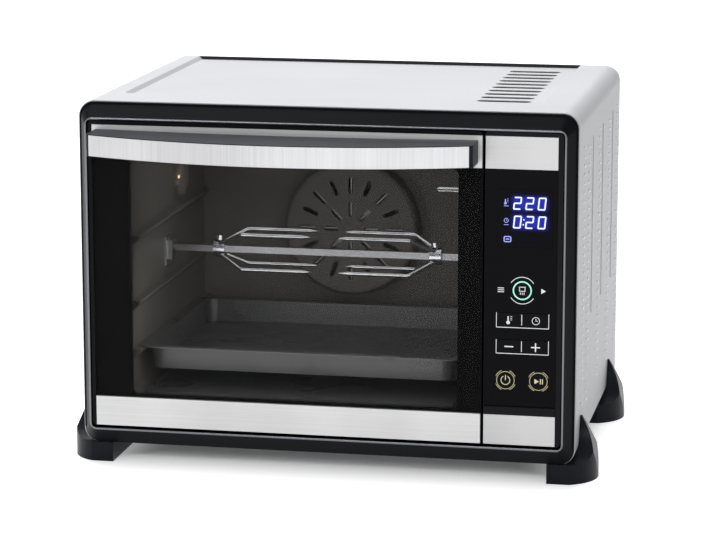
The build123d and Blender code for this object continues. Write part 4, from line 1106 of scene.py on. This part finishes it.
@dataclass
class Display:
    """Two lines of slanted seven-bar digits and small signs on the window.

    A digit's bars are lettered clockwise from the top, with g in the middle.
    """

    paint: Paintbox
    digit_height: float = 12.7
    digit_width: float = 7.8
    stroke: float = 1.4
    stroke_cut: float = 0.48
    stroke_gap: float = 0.55
    lean: float = 6.0
    advance: float = 11.9
    dot_size: float = 1.3
    dot_rise: float = 2.4
    dot_slope: float = 0.12
    dot_corner: float = 0.4
    front: float = -15.12
    line_x: float = 204.4
    upper_z: float = 283.3
    lower_z: float = 264.9
    glow_colour: Colour = (0.04, 0.05, 0.80)
    glow_strength: float = 0.5
    glow_size: Pair = (47.0, 18.2)
    glow_half: Pair = (14.0, 4.0)
    glow_fade: float = 7.0
    glow_behind: float = 0.06
    glow_thick: float = 0.03
    glow_edge: float = 0.01
    sign_x: float = 181.6
    sign_above_line: float = 1.3
    rule: Stroke = Stroke(0, -4.2, 4.6, 0.6)
    thermometer: Sign = (Stroke(-1, 0.6, 1.0, 3.6, 0.4), Hoop(1.3, 0.2, -1, -1.6, 20),
                         *stack(Stroke(1.3, -0.4, 1.3, 0.45), 1.5, 3))
    clock: Sign = (Hoop(2.3, 1.75, steps=32), Stroke(0, 0.6, 0.4, 1.3), Stroke(0.5, 0, 1.1, 0.4))
    tray_place: Pair = (183.0, 247.8)
    tray_size: Pair = (7.6, 6.0)
    tray_corner: float = 1.6
    tray_rim: float = 1.0
    tray_shelf: Stroke = Stroke(0, 0, 3.6, 1.0)
    bars: tuple[str, ...] = ("abcdef", "bc", "abged", "abgcd", "fgbc", "afgcd", "afgedc", "abc", "abcdefg",
                             "abcdfg")

    def digit(self, value: int, x: float, z: float) -> list[Piece]:
        """The lit bars of one digit, each with pointed ends.

        Args:
            value: The digit.
            x: Middle, to the right.
            z: Middle, up.

        Returns:
            Its bars.
        """
        side = (self.digit_width - self.stroke) / 2
        rise = (self.digit_height - self.stroke) / 2
        places = {
            "a": (0, rise), "g": (0, 0), "d": (0, -rise), "b": (side, rise / 2), "c": (side, -rise / 2),
            "e": (-side, -rise / 2), "f": (-side, rise / 2),
        }
        slope = math.tan(math.radians(self.lean))
        parts = []
        for key in self.bars[value]:
            dx, dz = places[key]
            upright = dx != 0
            long = (rise if upright else 2 * side) + self.stroke - self.stroke_gap
            size = (self.stroke, long) if upright else (long, self.stroke)
            place = (x + dx + dz * slope, self.front, z + dz)
            parts.append(bar(place, *size, corner=self.stroke * self.stroke_cut, steps=1,
                             lean=self.lean if upright else 0.0))
        return parts

    def line(self, name: str, text: str, z: float) -> None:
        """A line of leaning digits, with the colon between two of them.

        Args:
            name: Name of the piece.
            text: Digits, with a colon where two dots stand.
            z: Middle of the line, up.
        """
        digits = text.replace(":", "")
        start = self.line_x - self.advance * (len(digits) - 1) / 2
        parts: list[Piece] = []
        for number, mark in enumerate(digits):
            parts += self.digit(int(mark), start + number * self.advance, z)
        if ":" in text:
            gap = start + (text.index(":") - 0.5) * self.advance
            for rise in (-self.dot_rise, self.dot_rise):
                dot = Stroke(rise * self.dot_slope, rise, self.dot_size, self.dot_size, self.dot_corner)
                parts.append(dot.draw(gap, self.front, z))
        settle(merge(name, parts), "oven", self.paint.get(self.paint.finishes.digit))

    def glow(self, name: str, z: float) -> None:
        """Faint light round a line of digits.

        Args:
            name: Name of the piece and its finish.
            z: Middle of the line, up.
        """
        finish = Glow(name, self.glow_colour, self.glow_strength, at(self.line_x, 0, z), self.glow_half,
                      self.glow_fade)
        piece = bar((self.line_x, self.front + self.glow_behind, z), *self.glow_size, self.glow_thick)
        piece.name = name
        bevel(piece, self.glow_edge)
        settle(piece, "oven", self.paint.get(finish))

    def tray_sign(self) -> list[Piece]:
        """Sign of a tray: a rounded rim and a shelf in it.

        Returns:
            Its parts.
        """
        x, z = self.tray_place
        rim = bar((x, self.front, z), *self.tray_size, corner=self.tray_corner)
        with Editing(rim) as edit:
            edit.faces(lambda _, normal: abs(normal.y) > abs(normal.x) + abs(normal.z))
            bpy.ops.mesh.inset(thickness=self.tray_rim * MM)
            bpy.ops.mesh.delete(type="FACE")
            edit.open_edges()
            bpy.ops.mesh.bridge_edge_loops()
        return [rim, self.tray_shelf.draw(x, self.front, z)]

    def signs(self) -> None:
        """Small generic signs: a thermometer, a clock and a tray."""
        parts: list[Piece] = []
        for sign, z in ((self.thermometer, self.upper_z), (self.clock, self.lower_z)):
            for mark in (*sign, self.rule):
                parts.append(mark.draw(self.sign_x, self.front, z + self.sign_above_line))
        piece = merge("display_signs", parts + self.tray_sign())
        settle(piece, "oven", self.paint.get(self.paint.finishes.icon))

    def build(self) -> None:
        """Builds the lit display."""
        self.paint.dress(self.paint.finishes.window, "display_window")
        self.paint.dress(self.paint.finishes.carrier, "display_module")
        self.glow("glow_upper", self.upper_z)
        self.glow("glow_lower", self.lower_z)
        self.line("display_upper_line", "220", self.upper_z)
        self.line("display_lower_line", "0:20", self.lower_z)
        self.signs()


@dataclass
class KeyPanel:
    """Glossy panel with printed keys, each print riding on its key."""

    paint: Paintbox
    fascia_front: float = -15.0
    cap_front: float = -15.3
    # Light lines along the lower and side edges of the wide keys: a painted highlight.
    edge_highlight_sides: Pair = (172.9, 224.2)
    edge_highlight_rows: tuple[Pair, ...] = ((160.4, 174.9), (134.4, 148.2))
    edge_highlight_widths: Pair = (0.7, 0.6)
    # Light line in the gap between a pair of keys: a painted highlight.
    gap_highlight_x: float = 197.8
    gap_highlight: Stroke = Stroke(0, 0.4, 0.7, 10.6)
    gap_highlight_keys: tuple[str, ...] = ("temperature", "minus")
    thermometer: Sign = (Stroke(-1, 1.2, 1.3, 5.4, 0.5), Hoop(1.8, 0.2, -1, -2.4),
                         *stack(Stroke(2.0, 0.2, 1.8, 0.5), 1.7, 3))
    clock: Sign = (Hoop(3.9, 3.3), Stroke(0, 1.1, 0.6, 2.4), Stroke(0.9, 0, 2.0, 0.6))
    minus: Sign = (Stroke(0, 0, 8.8, 1.2),)
    plus: Sign = (Stroke(0, 0, 8.8, 1.2), Stroke(0, 0, 1.2, 8.8))
    function_ring: Sign = (Hoop(9.4, 8.0),)
    function_arcs: Sign = (Hoop(13.6, 12.9, arcs=2, first=90, half=58),)
    function_marks: Sign = (*stack(Stroke(-21.0, -1.9, 6.2, 0.8), 1.9, 3), Arrow(20.0))
    pot: Sign = (Stroke(0, -0.6, 6.0, 0.7), Stroke(-2.7, 0.9, 0.7, 3.6), Stroke(2.7, 0.9, 0.7, 3.6),
                 Stroke(-1.8, -3.0, 0.7, 2.4, 0.25), Stroke(0, -3.0, 0.7, 2.4, 0.25),
                 Stroke(1.8, -3.0, 0.7, 2.4, 0.25), Stroke(0, 3.4, 7.0, 0.7, 0.25))
    round_ring: Hoop = Hoop(8.9, 8.45)
    round_arcs: Sign = (Hoop(10.4, 9.95, arcs=4, first=45, half=20),)
    power: Sign = (Hoop(4.7, 4.0, steps=40, arcs=1, first=270, half=152), Stroke(0, 2.6, 0.8, 5.2, 0.3))
    start: Sign = (Arrow(-2.4), Stroke(2.0, 0, 0.9, 5.2), Stroke(4.0, 0, 0.9, 5.2))

    def print_on(self, name: str, body: str, finish: Finish, sign: Sign, x: float = 0.0,
                 z: float = 0.0) -> None:
        """Prints a sign on the fascia or on the key of a body.

        Args:
            name: Name of the print.
            body: Body that it moves with.
            finish: Its finish.
            sign: Its marks.
            x: Middle of the sign, to the right.
            z: Middle of the sign, up.
        """
        on_fascia = body == "oven"
        front = (self.fascia_front if on_fascia else self.cap_front) - PRINT_THICK / 2
        piece = merge(name, [mark.draw(x, front, z) for mark in sign])
        settle(piece, body, self.paint.get(finish))

    def edge_highlights(self) -> None:
        """Painted highlight: thin light lines along the lower and side edges of the wide keys."""
        left, right = self.edge_highlight_sides
        level, upright = self.edge_highlight_widths
        lines: Sign = ()
        for low, high in self.edge_highlight_rows:
            lines += (Stroke((left + right) / 2, low, right - left, level),)
            lines += tuple(Stroke(x, (low + high) / 2, upright, high - low) for x in (left, right))
        # The lines glow in the white print's finish as a painted highlight.
        self.print_on("key_edge_highlights", "oven", self.paint.finishes.white_print, lines)

    def function_key(self) -> None:
        """Lit ring, cooking sign, outer arcs and side marks of the round function key."""
        finish = self.paint.finishes
        x, _, z = node_middle("key_function")
        self.print_on("function_ring", "function_key", finish.mint, self.function_ring, x, z)
        self.print_on("function_sign", "function_key", finish.white_print, self.pot, x, z)
        self.print_on("function_arcs", "oven", finish.white_print, self.function_arcs, x, z)
        self.print_on("function_marks", "oven", finish.white_print, self.function_marks, x, z)

    def wide_key(self, name: str, sign: Sign) -> None:
        """Sign of a wide key, and on the left key of a pair a light line in the gap, a painted highlight.

        Args:
            name: Name of the key.
            sign: Its sign.
        """
        x, _, z = node_middle(f"key_{name}")
        if name in self.gap_highlight_keys:
            # The gap line is a painted highlight.
            sign += (replace(self.gap_highlight, right=self.gap_highlight_x - x),)
        self.print_on(f"{name}_sign", f"{name}_key", self.paint.finishes.white_print, sign, x, z)

    def round_key(self, name: str, sign: Sign) -> None:
        """Printed ring, sign and outer arcs of the power or start key.

        Args:
            name: Name of the key.
            sign: Its sign.
        """
        x, _, z = node_middle(f"key_{name}")
        finish = self.paint.finishes.yellow_print
        self.print_on(f"{name}_print", f"{name}_key", finish, (self.round_ring, *sign), x, z)
        self.print_on(f"{name}_arcs", "oven", finish, self.round_arcs, x, z)

    def build(self) -> None:
        """Builds and dresses the panel."""
        finish = self.paint.finishes
        wide = {"temperature": self.thermometer, "timer": self.clock, "minus": self.minus, "plus": self.plus}
        round_keys = {"power": self.power, "start": self.start}
        self.paint.dress(finish.carrier, "control_housing")
        self.paint.dress(finish.fascia, "control_fascia")
        self.paint.dress(finish.plate, "badge_plate", "lower_plate")
        self.paint.dress(finish.key, *(f"key_{name}" for name in ("function", *wide, *round_keys)))
        self.paint.dress(finish.board, "control_board", "power_board")
        self.edge_highlights()
        self.function_key()
        for name, sign in wide.items():
            self.wide_key(name, sign)
        for name, sign in round_keys.items():
            self.round_key(name, sign)


@dataclass
class Cavity:
    """Cavity with heaters, fan, lamp, trays and rotisserie."""

    paint: Paintbox
    coil_radius: float = 2.2
    coil_wire: float = 0.5
    coil_depth: float = 3.0
    coil_open: float = 1.2

    def dress(self) -> None:
        """Gives the CAD nodes their finishes."""
        finish = self.paint.finishes
        self.paint.dress(finish.cavity, "cavity_shell", "fan_guard")
        self.paint.dress(finish.seal, "door_seal")
        self.paint.dress(finish.heater, "top_heater", "bottom_heater")
        self.paint.dress(finish.ceramic, "heater_insulators")
        self.paint.dress(finish.dull, "fan_blade", "fan_motor", "rotisserie_motor", "spit_bearing",
                         "drive_socket")
        self.paint.dress(finish.turned, "spit_rod")
        self.paint.dress(finish.lamp_glass, "lamp_cover")
        self.paint.dress(finish.bulb_glass, "lamp_bulb")
        self.paint.dress(finish.chrome, "temperature_probe", "fork_left", "fork_right",
                         "fork_screw_left", "fork_screw_right")
        self.paint.dress(finish.tray, "baking_tray", "crumb_tray")

    def filament(self) -> None:
        """Small glowing coil in the front of the bulb."""
        low, high = node_box("lamp_bulb")
        x, y, z = high[0] - self.coil_depth, (low[1] + high[1]) / 2, (low[2] + high[2]) / 2
        deselect()
        bpy.ops.mesh.primitive_torus_add(location=at(x, y, z), rotation=(0, UPRIGHT, 0), major_segments=20,
                                         minor_segments=6, major_radius=self.coil_radius * MM,
                                         minor_radius=self.coil_wire * MM)
        coil = bpy.context.object
        coil.name = "lamp_filament"
        lowest = at(x, y, z - self.coil_open).z
        with Editing(coil) as edit:
            edit.faces(lambda spot, _: spot.z < lowest)
            bpy.ops.mesh.delete(type="FACE")
            edit.open_edges()
            bpy.ops.mesh.edge_face_add()
        settle(coil, "oven", self.paint.get(self.paint.finishes.filament))

    def build(self) -> None:
        """Builds and dresses the inside."""
        self.dress()
        self.filament()


# Studio


@dataclass(frozen=True)
class Lamp:
    """Soft rectangular lamp; its place, size and aim are in metres, its power in watts."""

    name: str
    place: Corner
    size: Pair
    power: float
    aim: Corner

    def build(self) -> None:
        """Makes the lamp and turns it the way that it aims."""
        data = bpy.data.lights.new(self.name, "AREA")
        data.shape = "RECTANGLE"
        data.size, data.size_y = self.size
        data.energy = self.power
        lamp = bpy.data.objects.new(self.name, data)
        lamp.location = self.place
        lamp.rotation_euler = Vector(self.aim).to_track_quat("-Z", "Y").to_euler()
        bpy.context.scene.collection.objects.link(lamp)


@dataclass
class Studio:
    """Pale floor, soft lamps and the camera; the floor's size is in metres."""

    camera_place: Corner = (562.0, -2698.0, 757.0)
    camera_turn: Corner = (78.72, 0.0, 11.10)
    lens: float = 143.1
    sensor: float = 36.0
    floor_size: float = 14.0
    floor_tones: Pair = (0.84, 0.86)
    floor_grain: float = 60.0
    floor_roughness: float = 0.9
    # Box round the footprint where the floor's glow fades: a painted shadow.
    shadow_half: Pair = (250.0, 150.0)
    glow_reach: Pair = (-70.0, 40.0)
    glow_levels: Pair = (0.05, 0.8)
    world_levels: Pair = (0.27, 1.0)
    lamps: tuple[Lamp, ...] = (
        Lamp("top_softbox", (-0.8, 1.7, 3.2), (3.4, 3.4), 140.0, (0.8, -1.5, -3.0)),
        Lamp("front_softbox", (0.0, -3.0, 1.75), (1.8, 0.5), 30.0, (0.0, 3.0, -1.55)),
        Lamp("cavity_fill", tuple(at(-32, 120, 316)), (0.30, 0.20), 0.3, (0.0, 0.0, -1.0)),
        Lamp("door_fill", tuple(at(-32, 8, 145)), (0.30, 0.13), 0.36, (0.0, 1.0, -0.15)),
    )

    def floor(self) -> None:
        """Large pale floor with the oven's real shadow and a painted shadow near it, white away from it."""
        deselect()
        bpy.ops.mesh.primitive_plane_add(size=self.floor_size, location=(0, 0, 0))
        plane = bpy.context.object
        plane.name = "studio_floor"
        graph = Graph("pale floor")
        stops = ((place, (tone, tone, tone)) for place, tone in enumerate(self.floor_tones))
        # Glow falls off near the oven's footprint: a painted shadow over the real one.
        far = graph.math("MAXIMUM", *graph.past(dict(enumerate(self.shadow_half))))
        reach = (distance * MM for distance in self.glow_reach)
        glow = graph.vary(far, *self.glow_levels, *reach, "SMOOTHSTEP")
        graph.feed(Base_Color=graph.ramp(graph.noise(self.floor_grain), *stops),
                   Emission_Strength=graph.math("MULTIPLY", graph.shown(), glow))
        graph.plain(Roughness=self.floor_roughness, Emission_Color=(1, 1, 1, 1))
        plane.data.materials.append(graph.material)

    def world(self) -> None:
        """Even light from all round, white where the camera sees it."""
        world = bpy.data.worlds.new("studio")
        bpy.context.scene.world = world
        world.use_nodes = True
        nodes = Nodes(world.node_tree)
        background = nodes.tree.nodes["Background"].inputs
        background["Color"].default_value = (1, 1, 1, 1)
        nodes.join(nodes.vary(nodes.shown(), *self.world_levels), background["Strength"])

    def camera(self) -> None:
        """Long lens at the photograph's angle."""
        data = bpy.data.cameras.new("camera")
        data.lens = self.lens
        data.sensor_width = self.sensor
        camera = bpy.data.objects.new("camera", data)
        camera.location = at(*self.camera_place)
        camera.rotation_euler = [math.radians(angle) for angle in self.camera_turn]
        bpy.context.scene.collection.objects.link(camera)
        bpy.context.scene.camera = camera

    def build(self) -> None:
        """Builds the studio."""
        self.floor()
        self.world()
        for lamp in self.lamps:
            lamp.build()
        self.camera()
        bpy.context.scene.view_settings.view_transform = "Standard"


def main() -> None:
    """Builds every sub-assembly in order, then the studio."""
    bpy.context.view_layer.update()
    paint = Paintbox()
    for part in (Case(paint), Door(paint), Display(paint), KeyPanel(paint), Cavity(paint)):
        part.build()
        log.info("built %s", type(part).__name__)
    Studio().build()
    deselect()


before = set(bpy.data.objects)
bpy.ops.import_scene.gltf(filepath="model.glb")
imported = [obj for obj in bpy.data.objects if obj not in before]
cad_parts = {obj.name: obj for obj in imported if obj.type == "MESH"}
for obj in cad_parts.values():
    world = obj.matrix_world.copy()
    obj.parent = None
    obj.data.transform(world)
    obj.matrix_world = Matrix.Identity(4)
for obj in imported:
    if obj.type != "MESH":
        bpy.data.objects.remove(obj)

if __name__ == "__main__":
    logging.basicConfig(level=logging.INFO, format="%(message)s")
    main()
